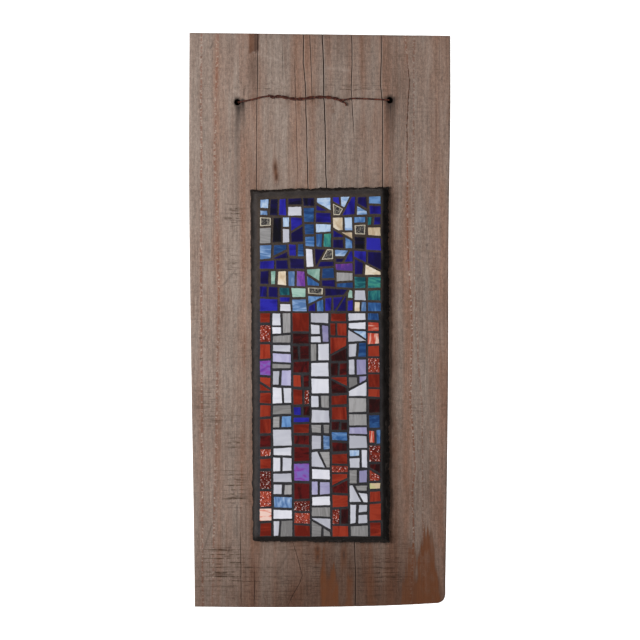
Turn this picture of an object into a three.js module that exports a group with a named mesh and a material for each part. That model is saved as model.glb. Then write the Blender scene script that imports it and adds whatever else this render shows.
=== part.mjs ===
// A mosaic panel for a wall. A slab of slate, set with pieces of stained glass in dark grout, is
// fixed to an old sawn board, and the board hangs by a wire that is twisted together in front.
//
// Frame, in millimetres: +X is to the viewer's right, +Z is up and the front faces -Y. The board's
// back lies in the plane y = 0. The origin is where a nail in the wall carries the wire.
import * as THREE from 'three';

// ---- Driving dimensions -------------------------------------------------------------------

const boardThickness = 25;
const slabThickness = 9;
const glassThickness = 3;
const groutThickness = 2.4;
const restGap = 0.3;

const boardTop = { left: [-130.5, 56.6], right: [130.5, 53.5] };
const boardFoot = { left: [-125.2, -517.8], belly: [30, -519.8], right: [117.6, -514.2] };
const boardLeftSide = [[-126.5, -425], [-128.5, -305], [-130.4, -161], [-131, -65]];
const boardRightSide = [[126.9, -425], [128.4, -290], [128.8, -150], [130.5, -31]];
const footCorner = { knee: [125.4, -513], end: [125.6, -505] };

const wireRadius = 0.8;
const holeRadius = 3.25;
const leftHole = { x: -82.5, z: -13 };
const rightHole = { x: 70, z: -11 };

const slabCorners = {
  topLeft: [-69.5, -101.5],
  topRight: [68.5, -98],
  footRight: [69.5, -453],
  footLeft: [-66.5, -451.5],
};
const dressing = { left: 1.5, foot: 2.5, right: 4, top: 4 };
const dressingStep = 12;
const dressingWander = 1.2;
const arrisDepth = 3.5;

const field = { left: -60.5, right: 61.5, topLeft: -110.2, topRight: -106.8, seam: -223, foot: -446.5 };
const stripeWidths = [13, 20, 18, 20, 18, 20, 13];
const seamWander = 1.6;
const skyArea = 160;
const stripeArea = 210;
// How a sheet snaps: how far a cut tilts, how often and how far it slants, and where it falls.
const snap = { tilt: 0.13, slantChance: 0.07, slant: 0.5, nearest: 0.36, spread: 0.28 };
const halfJointWidth = { least: 0.75, spread: 0.5 };
const groutMargin = 1.5;
const smallestGlass = 20;
const modelledGlass = 54;
const glassArris = 0.3;

// The planes that the layers start from, as depths in front of the wall.
const boardFace = -boardThickness;
const slabBack = boardFace - restGap;
const slabFace = slabBack - slabThickness;
const glassBack = slabFace - restGap;

// ---- Finishes -----------------------------------------------------------------------------

function finish(color, roughness, metalness = 0) {
  return new THREE.MeshStandardMaterial({ color, roughness, metalness });
}

const weatheredWood = finish('#80695c', 0.9);
const slate = finish('#3f3b39', 0.8);
const groutFinish = finish('#45403c', 0.9);
const rustyWire = finish('#5a3a2a', 0.7, 0.5);

const glassColours = {
  cobalt: '#281f86',
  ultramarine: '#1d1566',
  midnight: '#141040',
  azure: '#3a6cb4',
  sky: '#82ace0',
  teal: '#3c8288',
  sea: '#92bfae',
  cream: '#e6d4bb',
  violet: '#a45ac4',
  lime: '#bcd878',
  white: '#dcdce6',
  grey: '#94938f',
  lilac: '#b3aed0',
  brick: '#96281a',
  maroon: '#500c0e',
  hammered: '#a8402c',
  coral: '#e67c66',
};
const glassFinish = {};
for (const [glass, colour] of Object.entries(glassColours)) {
  glassFinish[glass] = finish(colour, 0.15);
}

// How the glasses share out each part of the field: a name and its share.
const palettes = {
  sky: [
    ['cobalt', 22], ['ultramarine', 20], ['midnight', 10], ['azure', 16], ['sky', 10],
    ['teal', 7], ['sea', 4], ['cream', 4], ['white', 4], ['violet', 2], ['grey', 1],
  ],
  red: [
    ['brick', 34], ['hammered', 18], ['maroon', 20], ['coral', 8], ['violet', 3],
    ['lime', 3], ['azure', 3], ['cobalt', 3],
  ],
  white: [
    ['white', 52], ['grey', 22], ['lilac', 12], ['cream', 3], ['sky', 4], ['azure', 2],
  ],
};

// ---- Dice and polygons --------------------------------------------------------------------

// A linear congruential generator, so that every run deals the same panel.
function makeDice(seed) {
  let state = seed;
  return () => {
    state = (Math.imul(state, 1664525) + 1013904223) >>> 0;
    return state / 2 ** 32;
  };
}

function nextOf(outline, i) {
  return outline[(i + 1) % outline.length];
}

function areaOf(outline) {
  let twice = 0;
  outline.forEach(([x, z], i) => {
    const [nextX, nextZ] = nextOf(outline, i);
    twice += x * nextZ - nextX * z;
  });
  return twice / 2;
}

// The part of a convex outline on the near side of the line nx x + nz z = reach.
function keepBelow(outline, nx, nz, reach) {
  const kept = [];
  outline.forEach(([x, z], i) => {
    const [nextX, nextZ] = nextOf(outline, i);
    const here = nx * x + nz * z - reach;
    const there = nx * nextX + nz * nextZ - reach;
    if (here <= 0) kept.push([x, z]);
    if ((here < 0 && there > 0) || (here > 0 && there < 0)) {
      const t = here / (here - there);
      kept.push([x + t * (nextX - x), z + t * (nextZ - z)]);
    }
  });
  return kept;
}

// A convex outline, counter-clockwise, with every edge moved in by the same distance.
function inset(outline, distance) {
  let shrunk = outline;
  outline.forEach(([x, z], i) => {
    const [nextX, nextZ] = nextOf(outline, i);
    const length = Math.hypot(nextX - x, nextZ - z);
    const nx = (nextZ - z) / length;
    const nz = (x - nextX) / length;
    shrunk = keepBelow(shrunk, nx, nz, nx * x + nz * z - distance);
  });
  return shrunk;
}

// Snaps an outline in two across its longer side, again and again, as a cutter breaks a sheet.
function shatter(outline, pieceArea, dice) {
  if (areaOf(outline) < pieceArea * (0.8 + 1.1 * dice())) return [outline];
  const xs = outline.map(([x]) => x);
  const zs = outline.map(([, z]) => z);
  const width = Math.max(...xs) - Math.min(...xs);
  const height = Math.max(...zs) - Math.min(...zs);
  const upright = width > height * (0.75 + 0.5 * dice());
  const straight = upright ? 0 : Math.PI / 2;
  const tilt = snap.tilt * (dice() - 0.5);
  const slant = dice() < snap.slantChance ? snap.slant * Math.sign(dice() - 0.5) : 0;
  const share = snap.nearest + snap.spread * dice();
  const nx = Math.cos(straight + tilt + slant);
  const nz = Math.sin(straight + tilt + slant);
  const cutX = Math.min(...xs) + width * (upright ? share : 0.5);
  const cutZ = Math.min(...zs) + height * (upright ? 0.5 : share);
  const reach = nx * cutX + nz * cutZ;
  return [
    ...shatter(keepBelow(outline, nx, nz, reach), pieceArea, dice),
    ...shatter(keepBelow(outline, -nx, -nz, -reach), pieceArea, dice),
  ];
}

function pickGlass(palette, chance) {
  const total = palette.reduce((sum, [, share]) => sum + share, 0);
  let passed = 0;
  for (const [glass, share] of palette) {
    passed += share / total;
    if (chance < passed) return glass;
  }
  return palette[0][0];
}

// ---- The mosaic's layout ------------------------------------------------------------------

// Every tessera as { glass, outline, pocket }, the largest first. A blue field fills the top, and
// upright red and white stripes stand below it.
function layOutMosaic() {
  const dice = makeDice(22);
  const cells = [];
  const skyField = [
    [field.left, field.seam], [field.right, field.seam],
    [field.right, field.topRight], [field.left, field.topLeft],
  ];
  for (const cell of shatter(skyField, skyArea, dice)) {
    cells.push(['sky', cell]);
  }
  let above = field.left;
  let below = field.left;
  stripeWidths.forEach((width, i) => {
    const wander = i < stripeWidths.length - 1 ? seamWander : 0;
    const nextAbove = above + width + wander * (dice() - 0.5);
    const nextBelow = below + width + wander * (dice() - 0.5);
    const stripe = [
      [below, field.foot], [nextBelow, field.foot], [nextAbove, field.seam], [above, field.seam],
    ];
    for (const cell of shatter(stripe, stripeArea, dice)) {
      cells.push([i % 2 === 0 ? 'red' : 'white', cell]);
    }
    above = nextAbove;
    below = nextBelow;
  });
  const tesserae = cells.map(([zone, cell]) => {
    const halfJoint = halfJointWidth.least + halfJointWidth.spread * dice();
    const glass = pickGlass(palettes[zone], dice());
    return { glass, outline: inset(cell, halfJoint), pocket: inset(cell, halfJoint - restGap) };
  });
  return tesserae
    .filter(({ outline }) => areaOf(outline) > smallestGlass)
    .sort((a, b) => areaOf(b.outline) - areaOf(a.outline));
}

// ---- Solids -------------------------------------------------------------------------------

function shapeOf(outline) {
  return new THREE.Shape(outline.map(([x, z]) => new THREE.Vector2(x, z)));
}

// A solid drawn in x and depth, stood up so that it grows from the plane y = back to the front.
function standUp(geometry, material, name, back) {
  const mesh = new THREE.Mesh(geometry, material);
  mesh.name = name;
  mesh.rotation.x = Math.PI / 2;
  mesh.position.y = back;
  return mesh;
}

// The sawn board: wider at the head than at the foot, with one worn lower corner and two drilled
// holes for the wire.
function makeBoard() {
  const spline = (points) => points.map(([x, z]) => new THREE.Vector2(x, z));
  const outline = new THREE.Shape();
  outline.moveTo(...boardFoot.left);
  outline.quadraticCurveTo(...boardFoot.belly, ...boardFoot.right);
  outline.quadraticCurveTo(...footCorner.knee, ...footCorner.end);
  outline.splineThru(spline([...boardRightSide, boardTop.right]));
  outline.lineTo(...boardTop.left);
  outline.splineThru(spline([...boardLeftSide.toReversed(), boardFoot.left]));
  for (const hole of [leftHole, rightHole]) {
    const bore = new THREE.Path();
    bore.absarc(hole.x, hole.z, holeRadius, 0, 2 * Math.PI, true);
    outline.holes.push(bore);
  }
  const geometry = new THREE.ExtrudeGeometry(outline, {
    depth: boardThickness,
    bevelEnabled: false,
    curveSegments: 8,
  });
  return standUp(geometry, weatheredWood, 'board', 0);
}

// A closed solid through rings of the same number of points, capped at both ends. Each ring is
// { height, outline } and counter-clockwise.
function loft(rings) {
  const count = rings[0].outline.length;
  const positions = rings.flatMap(({ height, outline }) => outline.flatMap(([x, z]) => [x, z, height]));
  const indices = [];
  for (let level = 0; level + 1 < rings.length; level += 1) {
    for (let i = 0; i < count; i += 1) {
      const low = level * count + i;
      const lowNext = level * count + ((i + 1) % count);
      indices.push(low, lowNext, lowNext + count);
      indices.push(low, lowNext + count, low + count);
    }
  }
  const cap = ({ outline }) => {
    const contour = outline.map(([x, z]) => new THREE.Vector2(x, z));
    return THREE.ShapeUtils.triangulateShape(contour, []);
  };
  const last = (rings.length - 1) * count;
  for (const [a, b, c] of cap(rings[0])) {
    indices.push(a, c, b);
  }
  for (const [a, b, c] of cap(rings.at(-1))) {
    indices.push(last + a, last + b, last + c);
  }
  const geometry = new THREE.BufferGeometry();
  geometry.setAttribute('position', new THREE.Float32BufferAttribute(positions, 3));
  geometry.setIndex(indices);
  return geometry;
}

// The slate slab. Its edges are dressed with a chisel from the face, so that the front outline
// lies inside the back one, by another amount on each side and at each blow.
function makeSlab() {
  const dice = makeDice(5);
  const { topLeft, topRight, footRight, footLeft } = slabCorners;
  const sides = [
    [footLeft, footRight, dressing.foot, [0, 1]],
    [footRight, topRight, dressing.right, [-1, 0]],
    [topRight, topLeft, dressing.top, [0, -1]],
    [topLeft, footLeft, dressing.left, [1, 0]],
  ];
  const back = [];
  const front = [];
  sides.forEach(([from, to, width, inward], side) => {
    const before = sides[(side + 3) % 4];
    const steps = Math.round(Math.hypot(to[0] - from[0], to[1] - from[1]) / dressingStep);
    for (let i = 0; i < steps; i += 1) {
      const t = i / steps;
      const corner = i === 0;
      const wander = corner ? 0 : dressingWander * (dice() - 0.5);
      const blow = width * (corner ? 1 : 0.7 + 0.5 * dice());
      const x = from[0] + t * (to[0] - from[0]) + wander * inward[0];
      const z = from[1] + t * (to[1] - from[1]) + wander * inward[1];
      const turnX = corner ? before[2] * before[3][0] : 0;
      const turnZ = corner ? before[2] * before[3][1] : 0;
      back.push([x, z]);
      front.push([x + blow * inward[0] + turnX, z + blow * inward[1] + turnZ]);
    }
  });
  const geometry = loft([
    { height: 0, outline: back },
    { height: arrisDepth, outline: back },
    { height: slabThickness, outline: front },
  ]);
  return standUp(geometry, slate, 'slate_slab', slabBack);
}

// The grout: one bed over the slab's face, open where each modelled tessera stands in it.
function makeGrout(tesserae) {
  const { left, right, topLeft, topRight, foot } = field;
  const bed = shapeOf([
    [left - groutMargin, foot - groutMargin], [right + groutMargin, foot - groutMargin],
    [right + groutMargin, topRight + groutMargin], [left - groutMargin, topLeft + groutMargin],
  ]);
  for (const { pocket } of tesserae) {
    bed.holes.push(shapeOf(pocket));
  }
  const geometry = new THREE.ExtrudeGeometry(bed, { depth: groutThickness, bevelEnabled: false });
  return standUp(geometry, groutFinish, 'grout_bed', glassBack);
}

// One tessera, with the small arris that a ground edge has.
function makeTessera({ glass, outline }, number) {
  const geometry = new THREE.ExtrudeGeometry(shapeOf(outline), {
    depth: glassThickness - 2 * glassArris,
    bevelThickness: glassArris,
    bevelSize: glassArris,
    bevelOffset: -glassArris,
    bevelSegments: 1,
  });
  geometry.translate(0, 0, glassArris);
  const name = `${glass}_tessera_${String(number).padStart(2, '0')}`;
  return standUp(geometry, glassFinish[glass], name, glassBack);
}

// ---- The wire -----------------------------------------------------------------------------

const rimTurn = 2.2;
const strandOffset = wireRadius + 0.075;
const twistTurns = 4.5;
const twistDepth = -27.2;
const backRun = 1.6;
const twistLine = [
  [-48, -8.2], [-40, -7.7], [-30, -9.6], [-20, -10.3], [-8, -8.8], [4, -8.3], [14, -9.4], [22, -12],
];

// The wire's way round one rim of a hole, from inside the bore to a face of the board or back.
// side is +1 where the wire leaves to the right, and toBack says which face it leaves by.
function roundRim(hole, side, toBack) {
  const rimX = hole.x + side * holeRadius;
  const faceY = toBack ? 0 : boardFace;
  const outward = toBack ? 1 : -1;
  return [0, 30, 60, 90].map((degrees) => {
    const angle = THREE.MathUtils.degToRad(degrees);
    const x = rimX - side * rimTurn * Math.cos(angle);
    const y = faceY + outward * rimTurn * Math.sin(angle);
    return new THREE.Vector3(x, y, hole.z);
  });
}

// Points along one strand of the twist, from left to right. phase is 0 or 1 half turn.
function strand(phase) {
  const middle = new THREE.CatmullRomCurve3(twistLine.map(([x, z]) => new THREE.Vector3(x, twistDepth, z)));
  const samples = Math.round(twistTurns * 8);
  const points = [];
  for (let i = 0; i <= samples; i += 1) {
    const t = i / samples;
    const angle = Math.PI * (2 * twistTurns * t + phase);
    const along = middle.getTangentAt(t);
    const up = new THREE.Vector3(-along.z, 0, along.x);
    const point = middle.getPointAt(t);
    point.addScaledVector(up, strandOffset * Math.cos(angle));
    point.y += strandOffset * Math.sin(angle);
    points.push(point);
  }
  return points;
}

// One wire: it starts at the twist's left end, runs through the twist and the right hole, over
// the nail behind the board, and back through the left hole and the twist.
function makeWire() {
  const at = (x, y, z) => new THREE.Vector3(x, y, z);
  const route = new THREE.CatmullRomCurve3([
    at(-51.5, twistDepth - 1.2, -6),
    ...strand(1),
    at(27, -27.6, -10.6),
    at(33, -27.4, -9.6),
    at(50, -27.1, -10.2),
    ...roundRim(rightHole, -1, false).toReversed(),
    ...roundRim(rightHole, -1, true),
    at(52, backRun, -8),
    at(26, backRun, -3.4),
    at(5, backRun, -0.3),
    at(-5, backRun, -0.3),
    at(-30, backRun, -4),
    at(-62, backRun, -10),
    ...roundRim(leftHole, 1, true).toReversed(),
    ...roundRim(leftHole, 1, false),
    at(-68, -27.3, -10.8),
    at(-57, -27.2, -8),
    ...strand(0),
    at(25.4, twistDepth - 0.3, -14.6),
    at(26.2, twistDepth + 0.1, -17),
  ], false, 'centripetal');
  const section = new THREE.Shape();
  section.absarc(0, 0, wireRadius, 0, 2 * Math.PI, false);
  const geometry = new THREE.ExtrudeGeometry(section, { extrudePath: route, steps: 230, curveSegments: 4 });
  const mesh = new THREE.Mesh(geometry, rustyWire);
  mesh.name = 'hanging_wire';
  return mesh;
}

// ---- The panel ----------------------------------------------------------------------------

const panel = new THREE.Group();
const modelled = layOutMosaic().slice(0, modelledGlass);
panel.add(makeBoard(), makeSlab(), makeGrout(modelled), makeWire());
modelled.forEach((tessera, i) => panel.add(makeTessera(tessera, i + 1)));

export default panel;
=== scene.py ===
# %% [markdown]
# # A mosaic wall panel
#
# This lesson finishes a wall panel: an old sawn board, a slab of slate fixed to it, a mosaic of
# stained glass set in dark grout on the slate, and the rusty wire that the board hangs by.
#
# The construction model gives every size and place. Each piece below is modelled finer over its
# construction solid, and then takes that solid's place. Lengths are in millimetres while a piece
# is being made, because a maker thinks in them, and one helper turns them to metres at the end.
# The front of the panel faces -Y, +X is to the right and +Z is up.

# %% Load the frame and measure it
import math

import bmesh
import bpy
from mathutils import Matrix, Vector, noise
from mathutils.geometry import delaunay_2d_cdt


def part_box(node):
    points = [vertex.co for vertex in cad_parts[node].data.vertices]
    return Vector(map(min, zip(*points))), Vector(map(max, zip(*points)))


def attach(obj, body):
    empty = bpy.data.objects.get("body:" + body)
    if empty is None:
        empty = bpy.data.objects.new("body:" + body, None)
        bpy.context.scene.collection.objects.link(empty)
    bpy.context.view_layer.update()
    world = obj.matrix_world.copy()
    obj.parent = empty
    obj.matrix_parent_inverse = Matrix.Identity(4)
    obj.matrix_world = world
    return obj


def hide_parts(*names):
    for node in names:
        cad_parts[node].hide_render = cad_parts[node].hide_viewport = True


# Vector noise is shifted by the clock until it has a seed of its own.
noise.seed_set(4)

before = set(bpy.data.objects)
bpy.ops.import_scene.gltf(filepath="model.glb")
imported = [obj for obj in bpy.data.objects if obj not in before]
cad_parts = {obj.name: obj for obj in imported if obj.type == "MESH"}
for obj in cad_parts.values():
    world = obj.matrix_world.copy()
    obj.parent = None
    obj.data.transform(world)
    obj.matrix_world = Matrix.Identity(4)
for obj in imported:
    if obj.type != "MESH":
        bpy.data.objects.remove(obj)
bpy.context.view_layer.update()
MM = 0.001


def box_mm(node):
    """The lowest and highest corner of a construction solid, in millimetres."""
    low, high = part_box(node)
    return low / MM, high / MM


board_low, board_high = box_mm("board")
slab_low, slab_high = box_mm("slate_slab")
grout_low, _ = box_mm("grout_bed")
glass_nodes = sorted(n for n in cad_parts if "_tessera_" in n)
glass_low, glass_high = box_mm(glass_nodes[0])
board_size = board_high - board_low
print("board", [round(v, 1) for v in board_size], "with", len(glass_nodes), "modelled tesserae")

# %% [markdown]
# ## Camera
#
# The panel is seen squarely from the front. A long lens keeps the board's sides parallel, so its
# taper is its own and not the camera's. The picture is as wide as 640 mm at the board's face.

# %% Camera
VIEW_WIDTH = 640
LENS = 85

centre = (board_low + board_high) / 2
camera = bpy.data.objects.new("camera", bpy.data.cameras.new("camera"))
camera.data.lens = LENS
camera_distance = VIEW_WIDTH * LENS / camera.data.sensor_width
camera.location = Vector((centre.x + 0.3, board_low.y - camera_distance, centre.z)) * MM
camera.rotation_euler = (math.radians(90), 0, 0)
bpy.context.scene.collection.objects.link(camera)
bpy.context.scene.camera = camera
print("the camera stands", round(camera_distance), "mm in front of the board")

# %% [markdown]
# ## Helpers
#
# A few small helpers serve every finish. One takes a colour as a maker writes it, in hex, and
# turns it to the linear values that light is counted in. One adds a node to a material with its
# settings and links. The others do what every finish does: they lay one colour over another, shade
# a colour by a pattern, and feed the shader its colour and its relief.

# %% Helpers for colours and nodes
def linear(hex_colour):
    """An sRGB hex colour as linear red, green, blue and alpha."""
    channels = [int(hex_colour[i : i + 2], 16) / 255 for i in (1, 3, 5)]
    return [c / 12.92 if c <= 0.04045 else ((c + 0.055) / 1.055) ** 2.4 for c in channels] + [1.0]


def add(tree, kind, links=None, stops=None, **settings):
    """Adds a node. links maps each input to a value or to the socket that feeds it, and stops are
    a colour ramp's places and colours."""
    node = tree.nodes.new(kind)
    for name, value in settings.items():
        setattr(node, name, value)
    for name, value in (links or {}).items():
        if isinstance(value, bpy.types.NodeSocket):
            tree.links.new(value, node.inputs[name])
        else:
            node.inputs[name].default_value = value
    for i, (place, colour) in enumerate(stops or []):
        ramp = node.color_ramp.elements
        stop = ramp[i] if i < 2 else ramp.new(place)
        stop.position = place
        stop.color = linear(colour)
    return node


def new_finish(name):
    """An empty material: its node tree, and the shader that everything below feeds."""
    finish = bpy.data.materials.new(name)
    finish.use_nodes = True
    shader = finish.node_tree.nodes["Principled BSDF"]
    return finish, finish.node_tree, shader


def per_mm(size):
    """The scale of a pattern whose features are this many millimetres across."""
    return 1 / (size * MM)


def lay_over(tree, colour, *coats):
    """A colour with coats laid over it in turn: each is a pattern, its strength and a hex colour."""
    for pattern, strength, coat in coats:
        links = {0: pattern, 1: strength}
        share = add(tree, "ShaderNodeMath", links, operation="MULTIPLY").outputs[0]
        links = {0: share, 6: colour, 7: linear(coat)}
        colour = add(tree, "ShaderNodeMix", links, data_type="RGBA").outputs[2]
    return colour


def shaded(tree, colour, pattern, start, end, dark, light):
    """A colour that goes from dark to light as a pattern goes from start to end."""
    links = {0: pattern, 1: start, 2: end, 3: dark, 4: light}
    value = add(tree, "ShaderNodeMapRange", links).outputs[0]
    return add(tree, "ShaderNodeHueSaturation", {"Value": value, "Color": colour}).outputs[0]


def feed_shader(tree, shader, colour, height, strength, depth, **values):
    """Gives a shader its colour, a relief this many millimetres deep, and values of its own."""
    links = {"Strength": strength, "Distance": depth * MM, "Height": height}
    bump = add(tree, "ShaderNodeBump", links).outputs[0]
    tree.links.new(colour, shader.inputs["Base Color"])
    tree.links.new(bump, shader.inputs["Normal"])
    for name, value in values.items():
        shader.inputs[name.replace("_", " ")].default_value = value


# %% [markdown]
# The shapes have helpers too. One keeps a share between 0 and 1, and one reads smooth noise. Two
# turn a finished bmesh into an object, and the object into a piece of the panel. One pulls an open
# rim out, which is how every chip, slab and hole gets its sides.

# %% Helpers for pieces
def clamp(value):
    return min(1.0, max(0.0, value))


def noise_at(*place):
    return noise.noise(Vector(place))


def make_object(name, bm, finishes):
    """Turns a bmesh in millimetres into a smooth object in metres."""
    bmesh.ops.scale(bm, vec=(MM, MM, MM), verts=bm.verts)
    mesh = bpy.data.meshes.new(name)
    bm.to_mesh(mesh)
    bm.free()
    for finish in finishes:
        mesh.materials.append(finish)
    mesh.shade_smooth()
    made = bpy.data.objects.new(name, mesh)
    bpy.context.scene.collection.objects.link(made)
    return made


def add_piece(name, bm, finishes, replaces, sharp=35):
    """Makes a piece of the panel, in place of its construction solids."""
    piece = make_object(name, bm, finishes)
    piece.data.set_sharp_from_angle(angle=math.radians(sharp))
    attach(piece, "root")
    if replaces:
        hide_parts(*replaces)
    piece.data.calc_loop_triangles()
    return piece


def pull_out(bm, rim):
    """Extrudes an open rim, and returns its new points and its new edges."""
    pulled = bmesh.ops.extrude_edge_only(bm, edges=rim)["geom"]
    points = [g for g in pulled if isinstance(g, bmesh.types.BMVert)]
    return points, [g for g in pulled if isinstance(g, bmesh.types.BMEdge)]


def say_size(piece):
    triangles = len(piece.data.loop_triangles)
    size = [round(side / MM, 1) for side in piece.dimensions]
    print(f"{piece.name}: {triangles} triangles, {size} mm")


# %% [markdown]
# ## The mosaic's layout
#
# A mosaicist snaps sheets of glass into strips and the strips into pieces, so the pieces are
# convex, with straight sides that are seldom quite square. Dealing the layout with dice copies
# that: a field is cut in two across its longer side, again and again, until the pieces are small
# enough. The construction model deals its tesserae with the same dice, so both agree.

# %% Dice and polygons
def make_dice(seed):
    """A linear congruential generator, which deals the same numbers in every language."""
    state = seed

    def roll():
        nonlocal state
        state = (state * 1664525 + 1013904223) & 0xFFFFFFFF
        return state / 2**32

    return roll


def sides_of(outline):
    return zip(outline, outline[1:] + outline[:1])


def area_of(outline):
    return sum(a[0] * b[1] - b[0] * a[1] for a, b in sides_of(outline)) / 2


def keep_below(outline, nx, nz, reach):
    """The part of a convex outline on the near side of the line nx x + nz z = reach."""
    kept = []
    for (x, z), (next_x, next_z) in sides_of(outline):
        here = nx * x + nz * z - reach
        there = nx * next_x + nz * next_z - reach
        if here <= 0:
            kept.append((x, z))
        if here < 0 < there or there < 0 < here:
            t = here / (here - there)
            kept.append((x + t * (next_x - x), z + t * (next_z - z)))
    return kept


def inset(outline, distance):
    """A convex outline, counter-clockwise, with every side moved in by the same distance."""
    shrunk = outline
    for (x, z), (next_x, next_z) in sides_of(outline):
        length = math.hypot(next_x - x, next_z - z)
        nx, nz = (next_z - z) / length, (x - next_x) / length
        shrunk = keep_below(shrunk, nx, nz, nx * x + nz * z - distance)
    return shrunk


def shatter(outline, piece_area, dice):
    """Snaps an outline in two across its longer side until its pieces are small enough."""
    if area_of(outline) < piece_area * (0.8 + 1.1 * dice()):
        return [outline]
    xs = [x for x, _ in outline]
    zs = [z for _, z in outline]
    width = max(xs) - min(xs)
    height = max(zs) - min(zs)
    upright = width > height * (0.75 + 0.5 * dice())
    tilt = 0.13 * (dice() - 0.5)
    slant = math.copysign(0.5, dice() - 0.5) if dice() < 0.07 else 0
    share = 0.36 + 0.28 * dice()
    angle = (0 if upright else math.pi / 2) + tilt + slant
    nx, nz = math.cos(angle), math.sin(angle)
    cut_x = min(xs) + width * (share if upright else 0.5)
    cut_z = min(zs) + height * (0.5 if upright else share)
    reach = nx * cut_x + nz * cut_z
    near = keep_below(outline, nx, nz, reach)
    far = keep_below(outline, -nx, -nz, -reach)
    return shatter(near, piece_area, dice) + shatter(far, piece_area, dice)


# %% [markdown]
# The field has two zones: a blue sky over upright red and white stripes. Each zone shares its
# glasses out by weight, so a few odd pieces turn up among the rest, as they do from a scrap box.

# %% Deal the tesserae
FIELD = {
    "left": -60.5, "right": 61.5, "top_left": -110.2, "top_right": -106.8,
    "seam": -223, "foot": -446.5,
}
STRIPE_WIDTHS = [13, 20, 18, 20, 18, 20, 13]
SEAM_WANDER = 1.6
SKY_AREA, STRIPE_AREA, SMALLEST_AREA = 160, 210, 20

PALETTES = {
    "sky": {
        "cobalt": 22, "ultramarine": 20, "midnight": 10, "azure": 16, "sky": 10, "teal": 7,
        "sea": 4, "cream": 4, "white": 4, "violet": 2, "grey": 1,
    },
    "red": {
        "brick": 34, "hammered": 18, "maroon": 20, "coral": 8, "violet": 3, "lime": 3,
        "azure": 3, "cobalt": 3,
    },
    "white": {"white": 52, "grey": 22, "lilac": 12, "cream": 3, "sky": 4, "azure": 2},
}


def pick_glass(palette, chance):
    passed = 0
    for glass, share in palette.items():
        passed += share / sum(palette.values())
        if chance < passed:
            return glass
    return next(iter(palette))


def stripe_cells(dice):
    """The cells of the upright stripes, each with its zone. Their borders wander a little."""
    cells = []
    above = below = FIELD["left"]
    for i, width in enumerate(STRIPE_WIDTHS):
        wander = SEAM_WANDER if i < len(STRIPE_WIDTHS) - 1 else 0
        next_above = above + width + wander * (dice() - 0.5)
        next_below = below + width + wander * (dice() - 0.5)
        foot, seam = FIELD["foot"], FIELD["seam"]
        stripe = [(below, foot), (next_below, foot), (next_above, seam), (above, seam)]
        zone = "white" if i % 2 else "red"
        cells += [(zone, cell) for cell in shatter(stripe, STRIPE_AREA, dice)]
        above, below = next_above, next_below
    return cells


def lay_out_mosaic():
    """Every tessera: its glass, its outline and the cell of grout that it stands in, by size."""
    dice = make_dice(22)
    sky = [
        (FIELD["left"], FIELD["seam"]), (FIELD["right"], FIELD["seam"]),
        (FIELD["right"], FIELD["top_right"]), (FIELD["left"], FIELD["top_left"]),
    ]
    cells = [("sky", cell) for cell in shatter(sky, SKY_AREA, dice)] + stripe_cells(dice)
    tesserae = []
    for zone, cell in cells:
        half_joint = 0.75 + 0.5 * dice()
        glass = pick_glass(PALETTES[zone], dice())
        outline = inset(cell, half_joint)
        tesserae.append({"zone": zone, "glass": glass, "cell": cell, "outline": outline})
    whole = [t for t in tesserae if area_of(t["outline"]) > SMALLEST_AREA]
    return sorted(whole, key=lambda t: -area_of(t["outline"]))


tesserae = lay_out_mosaic()
for number, tessera in enumerate(tesserae, 1):
    node = f"{tessera['glass']}_tessera_{number:02d}"
    tessera["node"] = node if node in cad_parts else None
matched = [t for t in tesserae if t["node"]]
print(len(tesserae), "tesserae, of which", len(matched), "stand on construction solids")
assert len(matched) == len(glass_nodes), "the layout and the construction model disagree"

# %% [markdown]
# A nipped edge is never quite straight, and its corners are worn. Each corner is therefore drawn
# in a little, each side divided every few millimetres and its points pushed in or out, and each
# corner taken off.

# %% Cut the outlines by hand
NIP_STEP, NIP_WANDER, CORNER_NIP, CORNER_PULL = 2.6, 0.14, 0.35, 0.9


def hand_cut(outline, dice):
    """A straight-sided outline with drawn-in corners, wavering sides and nipped corners."""
    middle = sum((Vector(p) for p in outline), Vector((0, 0))) / len(outline)
    corners = []
    for x, z in outline:
        corner = Vector((x, z))
        corners.append(corner + (middle - corner).normalized() * CORNER_PULL * dice() ** 2)
    points = []
    for start, end in sides_of(corners):
        length = (end - start).length
        along = (end - start) / length
        across = Vector((along.y, -along.x))
        nip = min(CORNER_NIP * (0.5 + dice()), length / 4)
        points.append(start + along * nip)
        steps = max(1, round(length / NIP_STEP))
        for i in range(1, steps):
            push = NIP_WANDER * (2 * dice() - 1.4)
            points.append(start + along * (length * i / steps) + across * push)
        points.append(start + along * (length - nip))
    return [(p.x, p.y) for p in points]


look_dice = make_dice(7)
for tessera in tesserae:
    tessera["cut"] = hand_cut(tessera["outline"], look_dice)
print(sum(len(t["cut"]) for t in tesserae), "points in the hand-cut outlines")

# %% [markdown]
# Some of the sky's small pieces are pale offcuts. A few of these are silvered behind, and the
# silver has crackled.

# %% Deal the pale offcuts
LARGEST_OFFCUT = 119
SWAPPED = ("azure", "violet", "midnight")
SILVERED_CHANCE, CREAM_CHANCE, WHITE_CHANCE = 0.18, 0.16, 0.08

offcut_dice = make_dice(5)
for tessera in tesserae:
    tessera["silvered"] = 0.0
    small = tessera["zone"] == "sky" and area_of(tessera["outline"]) < LARGEST_OFFCUT
    if small and not tessera["node"] and tessera["glass"] in SWAPPED:
        chance = offcut_dice()
        if chance < SILVERED_CHANCE + CREAM_CHANCE:
            tessera["glass"] = "cream"
            tessera["silvered"] = float(chance < SILVERED_CHANCE)
        elif chance < SILVERED_CHANCE + CREAM_CHANCE + WHITE_CHANCE:
            tessera["glass"] = "white"
print(sum(t["silvered"] for t in tesserae), "tesserae are silvered")

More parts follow.
